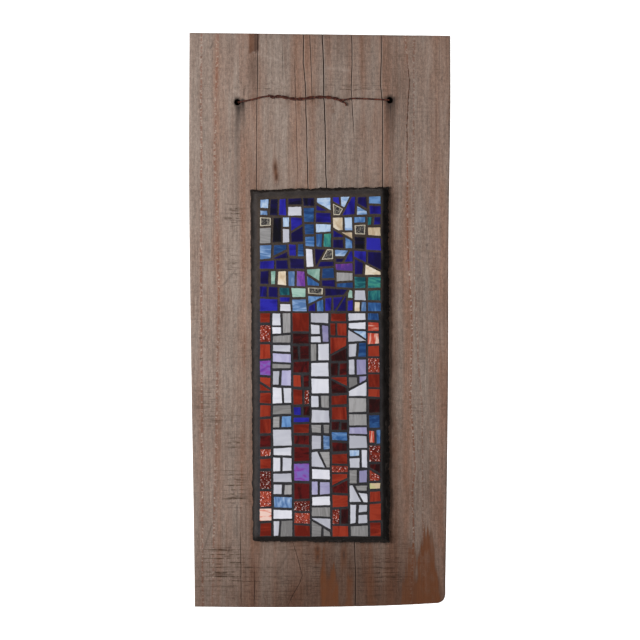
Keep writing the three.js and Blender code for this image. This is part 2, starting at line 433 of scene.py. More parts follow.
# %% [markdown]
# ## Stained glass
#
# Stained glass is coloured through, and its sheets are fire-polished, so all of it shines. What
# tells the sheets apart is how they were rolled: opal and streaky sheets carry wisps of a second
# colour, cathedral sheets are clear and look dark over slate, hammered sheets have dimples, and
# some are coated with a lustre that turns from one tint to another.
#
# Each tessera stores where on its sheet it was cut, as an attribute, so that the wisps of two
# neighbours never line up. Another attribute gives each piece its own tone, and a third marks the
# arris, where chips and grout haze make the edge paler.

# %% The sheets
# Each sheet's three tints, and the width and length of its wisps in millimetres.
GLASSES = {
    "cobalt": {"tints": ["#150f5c", "#1c1780", "#2a28a2"], "wisp": (9, 30)},
    "ultramarine": {"tints": ["#120a44", "#180f5e", "#221a7c"], "wisp": (9, 30)},
    "midnight": {"tints": ["#090816", "#0f0b30", "#19124e"], "wisp": (6, 24)},
    "azure": {"tints": ["#20437a", "#3866a2", "#7099cc"], "wisp": (4.5, 16), "contrast": 0.8},
    "sky": {"tints": ["#5d82b6", "#8daedb", "#bfd4ed"], "wisp": (4, 14), "contrast": 1.0},
    "teal": {"tints": ["#124a58", "#28737a", "#469a88"], "wisp": (4, 12)},
    "sea": {"tints": ["#6f9a8f", "#8bb3a6", "#a9cabc"], "wisp": (6, 20)},
    "cream": {"tints": ["#ccb494", "#e0ccae", "#eee1cd"], "wisp": (5, 10)},
    "violet": {"tints": ["#5c3a98", "#8c48aa", "#7c6cba"], "wisp": (5, 9)},
    "lime": {"tints": ["#8db562", "#b4cb80", "#d8c19c"], "wisp": (12, 16), "contrast": 1.3},
    "white": {"tints": ["#cccdda", "#dadbe6", "#e9e9f2"], "wisp": (9, 40), "contrast": 0.6},
    "grey": {"tints": ["#898787", "#999797", "#aaa8a9"], "wisp": (1.6, 14), "contrast": 0.8},
    "lilac": {"tints": ["#9a95c2", "#aca8ce", "#c0bddc"], "wisp": (8, 30), "contrast": 0.7},
    "brick": {"tints": ["#721b0c", "#882715", "#9c3621"], "wisp": (6, 26)},
    "maroon": {"tints": ["#260405", "#3c0708", "#5a0e0e"], "wisp": (5, 14)},
    "hammered": {"tints": ["#661a0e", "#862a1a", "#a8442f"], "wisp": (4, 8), "dimple": 2.4},
    "coral": {"tints": ["#c84634", "#e27c64", "#f0cec2"], "wisp": (2.2, 14), "contrast": 1.7},
}


# %% Stained glass
def wispy_colour(tree, sheet, tints, wisp, contrast):
    """The sheet's tints in long wisps, shifted by each tessera's own tone."""
    tone = add(tree, "ShaderNodeAttribute", attribute_name="tone").outputs["Fac"]
    scale = (per_mm(wisp[0]), per_mm(wisp[0]), per_mm(wisp[1]))
    rolled = add(tree, "ShaderNodeMapping", {"Vector": sheet, "Scale": scale}).outputs[0]
    links = {"Vector": rolled, "Scale": 1.0, "Detail": 4.0, "Distortion": 0.9}
    wisps = add(tree, "ShaderNodeTexNoise", links).outputs[0]
    links = {0: wisps, 1: contrast, 2: 0.5 - 0.5 * contrast}
    drawn = add(tree, "ShaderNodeMath", links, operation="MULTIPLY_ADD").outputs[0]
    links = {0: tone, 1: 0.17, 2: drawn}
    toned = add(tree, "ShaderNodeMath", links, operation="MULTIPLY_ADD").outputs[0]
    stops = list(zip((0.34, 0.5, 0.68), tints))
    tint = add(tree, "ShaderNodeValToRGB", {"Fac": toned}, stops=stops).outputs[0]
    return shaded(tree, tint, tone, -1.0, 1.0, 0.84, 1.12)


def crackled(tree, sheet, arris, colour):
    """The crackled silver behind some pieces: a bright rim round a dark, blotched middle."""
    silvered = add(tree, "ShaderNodeAttribute", attribute_name="silvered").outputs["Fac"]
    inner = add(tree, "ShaderNodeMapRange", {0: arris, 1: 0.12, 2: 0.0, 3: 0.0, 4: 1.0}).outputs[0]
    where = add(tree, "ShaderNodeMath", {0: silvered, 1: inner}, operation="MULTIPLY").outputs[0]
    links = {"Vector": sheet, "Scale": per_mm(2.2), "Detail": 3.0, "Distortion": 1.5}
    blotches = add(tree, "ShaderNodeTexNoise", links).outputs[0]
    dark = add(tree, "ShaderNodeMapRange", {0: blotches, 1: 0.4, 2: 0.54, 3: 0.1, 4: 1.0}).outputs[0]
    rim, dull = (silvered, 1.0, "#d9cfba"), (where, 1.0, "#8e887e")
    return lay_over(tree, colour, rim, dull, (dark, where, "#343234"))


def stained_glass(name, tints, wisp, contrast=1.0, dimple=None):
    """A glossy sheet in three tints, which is dimpled if it went through a hammered roller, with
    painted glints.
    """
    finish, tree, shader = new_finish(f"{name} stained glass")
    sheet = add(tree, "ShaderNodeAttribute", attribute_name="sheet").outputs["Vector"]
    arris = add(tree, "ShaderNodeAttribute", attribute_name="arris").outputs["Fac"]
    colour = wispy_colour(tree, sheet, tints, wisp, contrast)
    if name == "cream":
        colour = crackled(tree, sheet, arris, colour)
    colour = lay_over(tree, colour, (arris, 0.22, "#7d7a76"))
    links = {"Vector": sheet, "Scale": per_mm(5), "Detail": 1.0}
    ripple = add(tree, "ShaderNodeTexNoise", links).outputs[0]
    links = {"Strength": 0.6, "Distance": 0.3 * MM, "Height": ripple}
    surface = add(tree, "ShaderNodeBump", links).outputs[0]
    if dimple:
        links = {"Vector": sheet, "Scale": per_mm(dimple), "Smoothness": 0.5}
        cells = add(tree, "ShaderNodeTexVoronoi", links, feature="SMOOTH_F1").outputs[0]
        links = {"Strength": 1.0, "Distance": 1.3 * MM, "Height": cells, "Normal": surface}
        surface = add(tree, "ShaderNodeBump", links).outputs[0]
        # Painted highlights: the middles of the dimples are painted pale pink, as glints.
        links = {0: cells, 1: 0.2, 2: 0.06, 3: 0.0, 4: 0.4}
        painted_glint = add(tree, "ShaderNodeMapRange", links).outputs[0]
        colour = lay_over(tree, colour, (painted_glint, 1.0, "#e8a890"))
    tree.links.new(colour, shader.inputs["Base Color"])
    tree.links.new(surface, shader.inputs["Normal"])
    shader.inputs["Roughness"].default_value = 0.12
    shader.inputs["IOR"].default_value = 1.52
    return finish


glass_finishes = {name: stained_glass(name, **look) for name, look in GLASSES.items()}
print(len(glass_finishes), "kinds of stained glass")

# %% [markdown]
# ## Tesserae
#
# A tessera is a flat chip of 3 mm sheet. It could be a cube with a bevel, but every one has its
# own outline, so each starts as one face. An inset raises it over a small arris, a second one
# crowns it very slightly, and its rim is extruded back into the grout. No two lie quite level,
# which is what makes a real mosaic sparkle as one walks past.

# %% Build the tesserae
ARRIS_WIDTH, ARRIS_DEPTH = 0.35, 0.28
CROWN_WIDTH, CROWN_DEPTH = 1.0, 0.05
LARGEST_TILT = math.radians(1.6)
SHEET_SIZE = 400


def raise_tessera(bm, tessera, dice):
    """Adds one tessera to a bmesh that has the layers tone, arris, silvered and sheet."""
    tone, arris = bm.verts.layers.float["tone"], bm.verts.layers.float["arris"]
    silvered = bm.verts.layers.float["silvered"]
    sheet = bm.verts.layers.float_vector["sheet"]
    before = set(bm.verts)
    rim = [bm.verts.new((x, glass_low.y + ARRIS_DEPTH, z)) for x, z in tessera["cut"]]
    middle = sum((v.co for v in rim), Vector()) / len(rim)
    top = bm.faces.new(rim)
    bmesh.ops.inset_individual(
        bm, faces=[top], thickness=ARRIS_WIDTH, depth=ARRIS_DEPTH, use_even_offset=True
    )
    for vert in top.verts:
        vert[arris] = 0.35
    bmesh.ops.inset_individual(bm, faces=[top], thickness=0.0, depth=CROWN_DEPTH)
    shrink = max(0.4, 1 - 2 * CROWN_WIDTH / math.sqrt(area_of(tessera["outline"])))
    for vert in top.verts:
        vert.co.x = middle.x + (vert.co.x - middle.x) * shrink
        vert.co.z = middle.z + (vert.co.z - middle.z) * shrink
        vert[arris] = 0.0
    rim_edges = [e for e in bm.edges if e.is_boundary]
    for vert in {v for e in rim_edges for v in e.verts}:
        vert[arris] = 1.0
    foot, foot_edges = pull_out(bm, rim_edges)
    for vert in foot:
        vert.co.y = glass_high.y
    bmesh.ops.holes_fill(bm, edges=foot_edges)
    added = [v for v in bm.verts if v not in before]
    lean = Vector((dice() - 0.5, 0, dice() - 0.5)).normalized()
    turn = Matrix.Rotation(LARGEST_TILT * dice(), 3, lean)
    bmesh.ops.rotate(bm, cent=middle, matrix=turn, verts=[v for v in added if v not in foot])
    spin = Matrix.Rotation(math.pi * round(2 * dice()) / 2 + 0.3 * (dice() - 0.5), 3, "Y")
    place = Vector((dice(), dice(), dice())) * SHEET_SIZE
    shade = 2 * dice() - 1
    for vert in added:
        vert[tone] = shade
        vert[silvered] = tessera["silvered"]
        vert[sheet] = (spin @ (vert.co - middle) + place) * MM


def tessera_bmesh(members, dice):
    bm = bmesh.new()
    bm.verts.layers.float.new("tone")
    bm.verts.layers.float.new("arris")
    bm.verts.layers.float.new("silvered")
    bm.verts.layers.float_vector.new("sheet")
    for tessera in members:
        raise_tessera(bm, tessera, dice)
    bmesh.ops.recalc_face_normals(bm, faces=bm.faces)
    return bm


def add_chips(name, glass, members, replaces):
    """Makes one piece of the tesserae of one glass, and returns its number of triangles."""
    bm = tessera_bmesh(members, look_dice)
    piece = add_piece(name, bm, [glass_finishes[glass]], replaces, sharp=30)
    return len(piece.data.loop_triangles)


made_triangles = 0
for tessera in matched:
    name = tessera["node"].replace("_tessera_", "_chip_")
    made_triangles += add_chips(name, tessera["glass"], [tessera], [tessera["node"]])
print(len(matched), "large tesserae,", made_triangles, "triangles")

# %% [markdown]
# The smaller tesserae are made the same way. Those of one glass share a piece, as they came from
# one sheet, which keeps the panel to a manageable number of pieces.

# %% Build the smaller tesserae
for glass in GLASSES:
    members = [t for t in tesserae if t["glass"] == glass and not t["node"]]
    if members:
        made_triangles += add_chips(f"small_{glass}_chips", glass, members, [])
        print(len(members), "small chips of", glass)
print(made_triangles, "triangles in all the glass")

# %% [markdown]
# ## Grout
#
# Grout is a sanded cement that is wiped into the joints and off the glass, so it lies a little
# below the glass and is hollow between two chips. A displaced grid would need a huge number of
# faces to follow joints 2 mm wide. A constrained triangulation does it with few: its edges run
# along every chip and along the middle of every joint, and the middles are pressed in.

# %% Grout finish
def sanded_grout():
    """Sanded cement grout: matt, mottled, browner at the head, dark where it thins, with painted
    shade at the borders.
    """
    finish, tree, shader = new_finish("sanded cement grout")
    place = add(tree, "ShaderNodeTexCoord").outputs["Object"]
    height = add(tree, "ShaderNodeSeparateXYZ", {0: place}).outputs["Z"]
    seam = FIELD["seam"] * MM
    links = {0: height, 1: seam + 0.02, 2: seam - 0.01, 3: 0.0, 4: 1.0}
    low_share = add(tree, "ShaderNodeMapRange", links).outputs[0]
    wiped = add(tree, "ShaderNodeAttribute", attribute_name="wiped").outputs["Color"]
    # Red is how thin the grout is, and green is painted shade along the slate's right side, foot and
    # left rim.
    thin, painted_border_shade = add(tree, "ShaderNodeSeparateColor", {0: wiped}).outputs[:2]
    low_down, wiped_thin = (low_share, 1.0, "#333235"), (thin, 1.0, "#3f3937")
    colour = lay_over(tree, linear("#453b34"), low_down, wiped_thin, (painted_border_shade, 1.0, "#161210"))
    links = {"Vector": place, "Scale": per_mm(9), "Detail": 3.0}
    clouds = add(tree, "ShaderNodeTexNoise", links).outputs[0]
    colour = shaded(tree, colour, clouds, 0.3, 0.7, 0.75, 1.25)
    links = {"Vector": place, "Scale": per_mm(0.7), "Detail": 2.0}
    grains = add(tree, "ShaderNodeTexNoise", links).outputs[0]
    colour = shaded(tree, colour, grains, 0.35, 0.7, 0.75, 1.3)
    feed_shader(tree, shader, colour, grains, 0.5, 0.25, Roughness=0.9, Specular_IOR_Level=0.3)
    return finish


# The slate's left edge, and how wide a rim of painted shade runs along it.
SLAB_LEFT, PAINTED_SHADE_RIM = -68, 2.2
OUTER_HAZE = 1.5  # how far out from the mosaic the grout reaches its full thinness


def haze_and_painted_shade(x, z):
    """How far a point lies outside the mosaic, and how much painted shade darkens the slate's
    borders there.
    """
    wander = 1.3 * noise_at(x * 0.1, 7, z * 0.1)
    right, foot = x - FIELD["right"] + 0.6 + wander, FIELD["foot"] + 1.2 - z + 0.5 * wander
    left = FIELD["left"] - 0.6 - x
    slope = (FIELD["top_right"] - FIELD["top_left"]) / (FIELD["right"] - FIELD["left"])
    top = z - (FIELD["top_left"] + slope * (x - FIELD["left"])) - 0.6
    outside = clamp(max(right, foot, left, top) / OUTER_HAZE)
    share_down = (FIELD["top_left"] - z) / 350
    rim = SLAB_LEFT + PAINTED_SHADE_RIM + 1.2 * share_down + 1.4 * wander - x
    # The second share is painted shade: on the right side and the foot, which face away from the
    # lamp, and in a rim along the left edge.
    return outside, clamp(max(right / 2, foot / 1.3, rim / 1.2))


grout_finish = sanded_grout()

# %% [markdown]
# Round the mosaic the grout was wiped out over the slate, and it thins to nothing a few
# millimetres from the last glass. Three rings do that: one beside the glass, one half-way down,
# and a ragged one on the slate.

# %% Grout outlines
EDGE_DEPTH, JOINT_DEPTH, RAMP_DEPTH = 0.1, 0.5, 1.5
FEATHER_DEPTH = slab_low.y - grout_low.y + 0.05
RUN_STEP = 3.0
FEATHER = {"left": 6.5, "right": 4.0, "top": 5.5, "foot": 3.0}


def divided(outline, step):
    """An outline with extra points, so that no side is longer than the step."""
    points = []
    for (x, z), (next_x, next_z) in sides_of(outline):
        parts = max(1, math.ceil(math.hypot(next_x - x, next_z - z) / step))
        across, up = next_x - x, next_z - z
        points += [(x + across * i / parts, z + up * i / parts) for i in range(parts)]
    return points


def ring_round_field(share, ragged):
    """An outline round the mosaic, this share of the way out over the slate."""
    left, right = FIELD["left"] - FEATHER["left"] * share, FIELD["right"] + FEATHER["right"] * share
    foot, rise = FIELD["foot"] - FEATHER["foot"] * share, FEATHER["top"] * share
    top_left, top_right = FIELD["top_left"] + rise, FIELD["top_right"] + rise
    corners = [(left, foot), (right, foot), (right, top_right), (left, top_left)]
    points = []
    for x, z in divided(corners, RUN_STEP):
        wave = noise.noise_vector(Vector((x, 0, z)) * 0.11)
        wave += 0.5 * noise.noise_vector(Vector((x, 4, z)) * 0.4)
        points.append((x + ragged * wave.x, z + ragged * wave.z))
    return points


# %% Grout bed
def lay_grout():
    """Triangulates the bed. Returns its points, their depths, its faces and each face's loops."""
    points, depths, loops = [], [], []

    def add_loop(outline, depth):
        start = len(points)
        points.extend(Vector(p) for p in outline)
        depths.extend([depth] * len(outline))
        loops.append(list(range(start, len(points))))

    for tessera in tesserae:
        add_loop(tessera["cut"], EDGE_DEPTH)
    for tessera in tesserae:
        add_loop(divided(tessera["cell"], RUN_STEP), JOINT_DEPTH)
    add_loop(ring_round_field(0.2, 0.25), EDGE_DEPTH + 0.25)
    add_loop(ring_round_field(0.55, 0.6), RAMP_DEPTH)
    add_loop(ring_round_field(1.0, 1.4), FEATHER_DEPTH)
    found, _, faces, origins, _, inside = delaunay_2d_cdt(points, [], loops, 1, 1e-4)
    depth_of = [min((depths[i] for i in origin), default=JOINT_DEPTH) for origin in origins]
    return found, depth_of, faces, inside


def build_grout():
    found, depth_of, faces, inside = lay_grout()
    bm = bmesh.new()
    wiped = bm.verts.layers.float_color.new("wiped")
    for place, depth in zip(found, depth_of):
        worn = 0.12 * noise.noise(Vector((place.x, 5, place.y)) * 0.4)
        vert = bm.verts.new((place.x, grout_low.y + depth + worn, place.y))
        # The wiped layer holds how thin the grout is and, in green, the painted shade at the slate's
        # borders.
        vert[wiped] = (*haze_and_painted_shade(place.x, place.y), 0.0, 1.0)
    bm.verts.ensure_lookup_table()
    for face, loops in zip(faces, inside):
        if min(loops) >= len(tesserae):
            bm.faces.new([bm.verts[i] for i in face])
    bmesh.ops.delete(bm, geom=[v for v in bm.verts if not v.link_faces], context="VERTS")
    sunk = bmesh.ops.extrude_face_region(bm, geom=list(bm.faces), use_keep_orig=True)["geom"]
    for vert in sunk:
        if isinstance(vert, bmesh.types.BMVert):
            vert.co.y = slab_low.y + 0.3
    bmesh.ops.recalc_face_normals(bm, faces=bm.faces)
    return bm


grout = add_piece(
    "grout_joints", build_grout(), [grout_finish], ["grout_bed"], sharp=50
)
say_size(grout)

# %% [markdown]
# ## Slate
#
# Slate splits into flat laminae, so its face is level and its edges break in shallow steps. The
# edges of this slab are dressed with a chisel from the front. Each blow takes off a flake shaped
# like a shell, which leaves a scalloped slope. A bevel would be far too regular, so a fine grid is
# laid over the slab and pressed back near its edges, blow by blow.

# %% Slate finish
def riven_slate():
    """Dark grey slate, hazed with grout. Chiselled slopes are clean, darker and rougher; borders get
    painted shade.
    """
    finish, tree, shader = new_finish("riven slate")
    place = add(tree, "ShaderNodeTexCoord").outputs["Object"]
    links = {"Vector": place, "Scale": per_mm(14), "Detail": 4.0}
    clouds = add(tree, "ShaderNodeTexNoise", links).outputs[0]
    stops = [(0.3, "#312b29"), (0.5, "#3f3936"), (0.72, "#504945")]
    base = add(tree, "ShaderNodeValToRGB", {"Fac": clouds}, stops=stops).outputs[0]
    links = {"Vector": place, "Scale": per_mm(1.0), "Detail": 3.0}
    grains = add(tree, "ShaderNodeTexNoise", links).outputs[0]
    speckled = shaded(tree, base, grains, 0.35, 0.7, 0.75, 1.25)
    broken_and_shaded = add(tree, "ShaderNodeAttribute", attribute_name="broken_and_shaded").outputs["Fac"]
    # This coat darkens the chiselled slopes, and lays painted shade on the slate's right side, foot
    # and left rim.
    colour = lay_over(tree, speckled, (broken_and_shaded, 0.85, "#1e1612"))
    scale = (per_mm(8), per_mm(0.7), per_mm(8))
    layers = add(tree, "ShaderNodeMapping", {"Vector": place, "Scale": scale}).outputs[0]
    links = {"Vector": layers, "Scale": 1.0, "Detail": 3.0}
    laminae = add(tree, "ShaderNodeTexNoise", links).outputs[0]
    rough = add(tree, "ShaderNodeMath", {0: laminae, 1: grains}, operation="ADD").outputs[0]
    feed_shader(tree, shader, colour, rough, 0.6, 0.4, Roughness=0.8, Specular_IOR_Level=0.25)
    return finish


slate_finish = riven_slate()

# %% How the slate was dressed
SLATE_STEP = 1.05
DRESSED_WIDTH = {"left": 1.3, "foot": 5.0, "right": 6.5, "top": 2.8}
RAGGED = {"left": 0.9, "foot": 1.5, "right": 1.6, "top": 1.5}
EDGE_LEFT = 3.5
LAMINA = 0.9
SLATE_LAYERS, SLATE_WANDER = (0.35, 0.7, 1.0), 0.3
SLATE_BEDDING = 0.3  # how far the slab's back closes the gap to the board


def slab_corner(to_right, up):
    """The corner of the slab that lies furthest to one side and up or down, each 1 or -1."""
    points = [v.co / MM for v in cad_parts["slate_slab"].data.vertices]
    corner = max(points, key=lambda p: to_right * p.x + up * p.z)
    return Vector((corner.x, corner.z))


def blows(length, dice):
    """Where the chisel struck along one edge: each blow's middle, half length and strength."""
    struck, at = [], 0.0
    while at < length:
        half = 2.5 + 5.0 * dice()
        struck.append((at + half, half * 1.3, 0.45 + 0.75 * dice()))
        at += 2 * half
    return struck


def dressed(distance, along, width, struck):
    """How far a point is chipped back, from the distance to its edge and its place along it."""
    deepest = 0.0
    for middle, half, strength in struck:
        side = (along - middle) / half
        if abs(side) < 1:
            reach = width * strength * math.sqrt(1 - 0.8 * side * side)
            if distance < reach:
                depth = (1 - distance / reach) ** 0.8 * min(1.0, 0.5 + 0.5 * strength)
                deepest = max(deepest, depth)
    return deepest


# %% Slate slab
def press_slab(bm, corners, dice):
    """Moves a unit grid on to the slab's outline and breaks its edges back."""
    low_left, low_right, top_right, top_left = corners
    width, height = (low_right - low_left).length, (top_left - low_left).length
    broken_and_shaded = bm.verts.layers.float.new("broken_and_shaded")
    lengths = {"left": height, "foot": width, "right": height, "top": width}
    edges = {side: blows(length, dice) for side, length in lengths.items()}
    deepest = slab_high.y - slab_low.y - EDGE_LEFT
    for vert in bm.verts:
        u, v = vert.co.x + 0.5, vert.co.y + 0.5
        at = low_left.lerp(low_right, u).lerp(top_left.lerp(top_right, u), v)
        x, z = u * width, v * height
        near = {"left": x, "right": width - x, "foot": z, "top": height - z}
        along = {"left": z, "right": z, "foot": x, "top": x}
        share = max(dressed(near[s], along[s], DRESSED_WIDTH[s], edges[s]) for s in near)
        side = min(near, key=near.get)
        chip = 0.9 * noise.noise(Vector((at.x, 9, at.y)) * 0.6)
        drop = deepest * share + (chip if share > 0 else 0)
        drop = max(0.0, 0.5 * drop + 0.5 * LAMINA * round(drop / LAMINA))
        wave = 0.7 * noise.noise_vector(Vector((at.x, 3, at.y)) * 0.09)
        wave += 0.8 * noise.noise_vector(Vector((at.x, 6, at.y)) * 0.45)
        reach = max(0.0, 1 - near[side] / 6) * RAGGED[side]
        vert.co = Vector((at.x + wave.x * reach, slab_low.y + drop, at.y + wave.z * reach))
        # The layer holds both the chiselled slopes, which are clean and darker, and the painted
        # shade at the borders.
        vert[broken_and_shaded] = min(1.0, max(2.5 * share, haze_and_painted_shade(at.x, at.y)[1]))


def sink_rim(bm, rim, back, share, wander):
    """Extrudes an open rim part of the way to the back plane, and returns the new rim."""
    sunk, new_rim = pull_out(bm, rim)
    for vert in sunk:
        vert.co.y += (back - vert.co.y) * share
        if share < 1:
            wave = noise.noise_vector(vert.co * 0.35)
            vert.co.x += wander * wave.x
            vert.co.z += wander * wave.z
    return new_rim


def build_slab():
    dice = make_dice(3)
    corners = [slab_corner(-1, -1), slab_corner(1, -1), slab_corner(1, 1), slab_corner(-1, 1)]
    bm = bmesh.new()
    columns = round((slab_high.x - slab_low.x) / SLATE_STEP)
    rows = round((slab_high.z - slab_low.z) / SLATE_STEP)
    bmesh.ops.create_grid(bm, x_segments=columns, y_segments=rows, size=0.5)
    press_slab(bm, corners, dice)
    rim = [e for e in bm.edges if e.is_boundary]
    for share in SLATE_LAYERS:
        rim = sink_rim(bm, rim, slab_high.y + SLATE_BEDDING, share, SLATE_WANDER)
    bmesh.ops.holes_fill(bm, edges=rim)
    bmesh.ops.recalc_face_normals(bm, faces=bm.faces)
    return bm


say_size(add_piece("dressed_slate", build_slab(), [slate_finish], ["slate_slab"], sharp=40))

# %% [markdown]
# ## The board
#
# The board is a softwood plank, sawn rough and left outdoors until it went grey. Three things make
# it: the grain, which runs up the board in grey and pinkish brown bands with thin resinous lines
# between them, the saw's fine marks, which run across it, and the drying splits, which open along
# the grain from its head and its foot.
#
# The splits are deep, so they are modelled and not painted. A grid is laid on the board's outline
# with three columns of points for every grain line, one on the line and one at each lip, and where
# the line has split, its middle column is pressed in. Colours that lie in one certain place are
# stored on the same points as attributes.

# %% Read the board's outline
FACE = board_low.y


SIDE_SHARE = 0.93  # a corner this far out from the middle belongs to a side
WORN_CORNER, HEAD_FALL = 13, 8


def face_outline():
    """The construction board's front corners, sorted into its four sides."""
    corners = [v.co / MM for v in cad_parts["board"].data.vertices]
    points = {(round(p.x, 3), round(p.z, 3)) for p in corners}
    worn = board_low.z + WORN_CORNER
    left = sorted((z, x) for x, z in points if x < board_low.x * SIDE_SHARE)
    right = sorted((z, x) for x, z in points if x > board_high.x * SIDE_SHARE and z > worn)
    foot = sorted((x, z) for x, z in points if z < worn + 0.5)
    top = sorted((x, z) for x, z in points if z > board_high.z - HEAD_FALL)
    return left, right, foot, top


def follow(side, t):
    """Reads a side, as sorted pairs, at t."""
    start, value = side[0]
    for end, next_value in side:
        if end >= t:
            span = end - start
            return next_value if span == 0 else value + (next_value - value) * (t - start) / span
        start, value = end, next_value
    return value


left_side, right_side, foot_side, top_side = face_outline()
print("outline points:", [len(side) for side in (left_side, right_side, foot_side, top_side)])


# %% Grain lines and splits
def grain(path, width=1.0, resin=0.0, splits=(), bleeds=0.0):
    """A grain line. Its path runs from the foot up, as (z, x), and a split is (low, high, depth).
    bleeds is how strongly its resin shows beside it."""
    return {"path": path, "width": width, "resin": resin, "splits": splits, "bleeds": bleeds}


# Splits that run out of the board, or under the slate, end well beyond what is seen.
HEAD, FOOT, UNDER_SLATE_TOP, UNDER_SLATE_FOOT = 90, -550, -140, -430
GRAIN_LINES = [
    grain([(-530, -117), (-330, -118), (-160, -119), (60, -118.5)], 1.2, 0.7, bleeds=0.4),
    grain(
        [(-530, -108), (-330, -103.5), (-200, -101), (-60, -105.5), (60, -102)],
        1.3, 0.6, bleeds=0.4,
    ),
    grain(
        [(-530, -78.5), (-436, -79.5), (-250, -75), (-160, -76.5), (-101, -78), (-16, -79.5)]
        + [(60, -81)],
        0.6, 0.7, [(FOOT, -438, 1.0)],
    ),
    grain(
        [(-530, -66), (-481, -65), (-200, -64), (-110, -63.6), (-14, -63), (60, -61.8)],
        0.6, 0.5, [(UNDER_SLATE_TOP, HEAD, 3.5), (FOOT, -478, 1.2)],
    ),
    grain([(-530, -46), (-110, -36.5), (60, -37.2)], 0.4, 0.15, [(8, 50, 0.8)]),
    grain(
        [(-530, -38), (-506, -27), (-495, -20.5), (-486, -17.5), (-470, -22), (-450, -27.5)]
        + [(-101, -21.5), (39, -25.7), (60, -26.5)],
        0.5, 0.6, [(FOOT, -448, 1.2), (-98, 36, 0.7)],
    ),
    grain(
        [(-530, -11), (-101, -11.7), (-14, -13.9), (0, -14.4), (28, -16.5), (60, -16)],
        0.8, 0.3, [(UNDER_SLATE_TOP, HEAD, 5)],
    ),
    grain(
        [(-530, -4), (-100, -6.5), (-6, -7.8), (28, -9), (60, -10.2)], 0.6, 0.3,
        [(-16, HEAD, 2.6)],
    ),
    grain(
        [(-530, 2.5), (-100, 6.7), (-7, 4.3), (28, 3.6), (60, 2.4)],
        1.0, 0.2, [(UNDER_SLATE_TOP, HEAD, 7)],
    ),
    grain([(-530, 14), (-110, 12), (34, 10.2), (60, 9.6)], 0.35, 0.2, [(34, 72, 0.8)]),
    grain(
        [(-530, 35), (-486, 35.9), (-452, 34.2), (-40, 33.5), (-14, 32.4), (0, 31.5), (28, 32.2)]
        + [(60, 31.6)],
        0.7, 0.1, [(-44, HEAD, 3.5), (FOOT, UNDER_SLATE_FOOT, 4.5)],
    ),
    grain(
        [(-530, 64), (-98, 62.5), (-12, 62.8), (6, 60.5), (30, 61.4), (60, 61.4)],
        0.8, 0.2, [(UNDER_SLATE_TOP, HEAD, 4.5)],
    ),
    grain(
        [(-530, 90), (-450, 94), (-404, 92.5), (-378, 95.5), (-310, 90.5), (-239, 92.5), (-158, 88)]
        + [(-34, 87.2), (10, 89.5), (60, 85)],
        0.7, 0.9, [(-75, 32, 1.1)], bleeds=0.7,
    ),
    grain(
        [(-530, 104), (-414, 103), (-328, 102.5), (-271, 98.5), (-200, 95), (-148, 93), (60, 94)],
        0.9, 0.5, bleeds=0.4,
    ),
    grain([(-530, 114), (-300, 112), (-100, 113), (60, 112)], 0.6, 0.15),
]


def line_at(line, z):
    """A grain line's place across the board at height z."""
    seed = line["path"][0][1]
    waver = 0.45 * noise_at(seed, z * 0.05, 1.7)
    return follow(line["path"], z) + waver + 0.2 * noise_at(seed, z * 0.2, 4.1)


SPLIT_TAPER = 22  # how far from its end a split reaches its full depth


def split_at(line, z):
    """How deep a grain line has split at height z. A split shallows towards its ends."""
    deepest = 0.0
    for low, high, depth in line["splits"]:
        openness = clamp(min(z - low, high - z) / SPLIT_TAPER)
        deepest = max(deepest, depth * openness)
    return deepest


print(len(GRAIN_LINES), "grain lines,", sum(len(line["splits"]) for line in GRAIN_LINES), "splits")

# %% [markdown]
# Two colour attributes hold what lies in one place. In the first, named marks, red is dirt and
# iron stain, such as the runs below the two holes, green is rust and resin stain, blue is painted
# shade inside a split or a hole, and alpha is how much damp and painted shade darken the board. In
# the second, named grain, red is how pink a band is, green is a resinous line, blue is how strongly
# the saw marked the wood, and alpha is a pale scuff, with a painted highlight on split lips.

# %% Where the marks are
HOLES = [Vector((-82.5, -13)), Vector((70, -11))]
HOLE_RADIUS = 3.25
# Pink bands: each one's middle, half width and strength.
PINK_BANDS = [
    (-118.5, 2.0, 0.45), (-102, 4.5, 0.6), (-77, 4, 0.6), (-66, 8, 0.8), (-21, 8, 1.0),
    (-8, 5, 0.7), (8, 4, 0.5), (47, 14, 0.4), (70, 8, 0.8), (87, 5, 0.9), (121, 9, 1.0),
]
# Where the saw bit: each patch's middle, its half width and half height, and its strength.
SAW_PATCHES = [
    (-88, -125, 8, 12, 0.9), (-86, -180, 7, 26, 0.6), (-84, -353, 12, 8, 0.9),
    (-84, -407, 12, 12, 1.3), (-85, -388, 14, 10, 0.8), (-90, -329, 22, 5, 0.6),
    (-100, -467, 22, 9, 0.9), (-95, -488, 24, 7, 0.8), (-90, -475, 30, 40, 0.4),
    (-20, -490, 70, 34, 0.5), (60, -480, 40, 30, 0.5), (-54, 2, 18, 6, 0.8), (32, 1, 28, 4, 1.0),
    (119, 20, 8, 16, 0.5), (-112, -300, 12, 40, 0.35), (-80, -260, 10, 20, 0.4),
]
# Knots: each one's middle, half width and half height.
KNOTS = [
    (-44.6, -78, 1.6, 5.0), (-43.4, -88, 1.5, 3.8), (-2.3, -460, 1.8, 3.4), (-2.3, -468, 1.8, 4),
    (24, -466, 2.0, 8),
]
NAIL_MARKS = [
    (-120, -17), (-119.5, -249), (-119, -270), (-122, -318), (107, -156), (87, -237),
    (-118, 33), (-90, -62),
]
# Dark scratches: where each starts and ends, as x and z, and its strength.
SCRATCHES = [
    (-108, -436, -117, -463, 0.6), (-87, -452, -92, -464, 0.7), (-83, -416, -83, -447, 0.6),
    (-30, -461, -45, -488, 0.4), (-107, 46, -109.5, 41, 0.8), (-75, 2, -76.5, -6, 0.8),
    (-97, -196, -85, -182, 0.55),
]
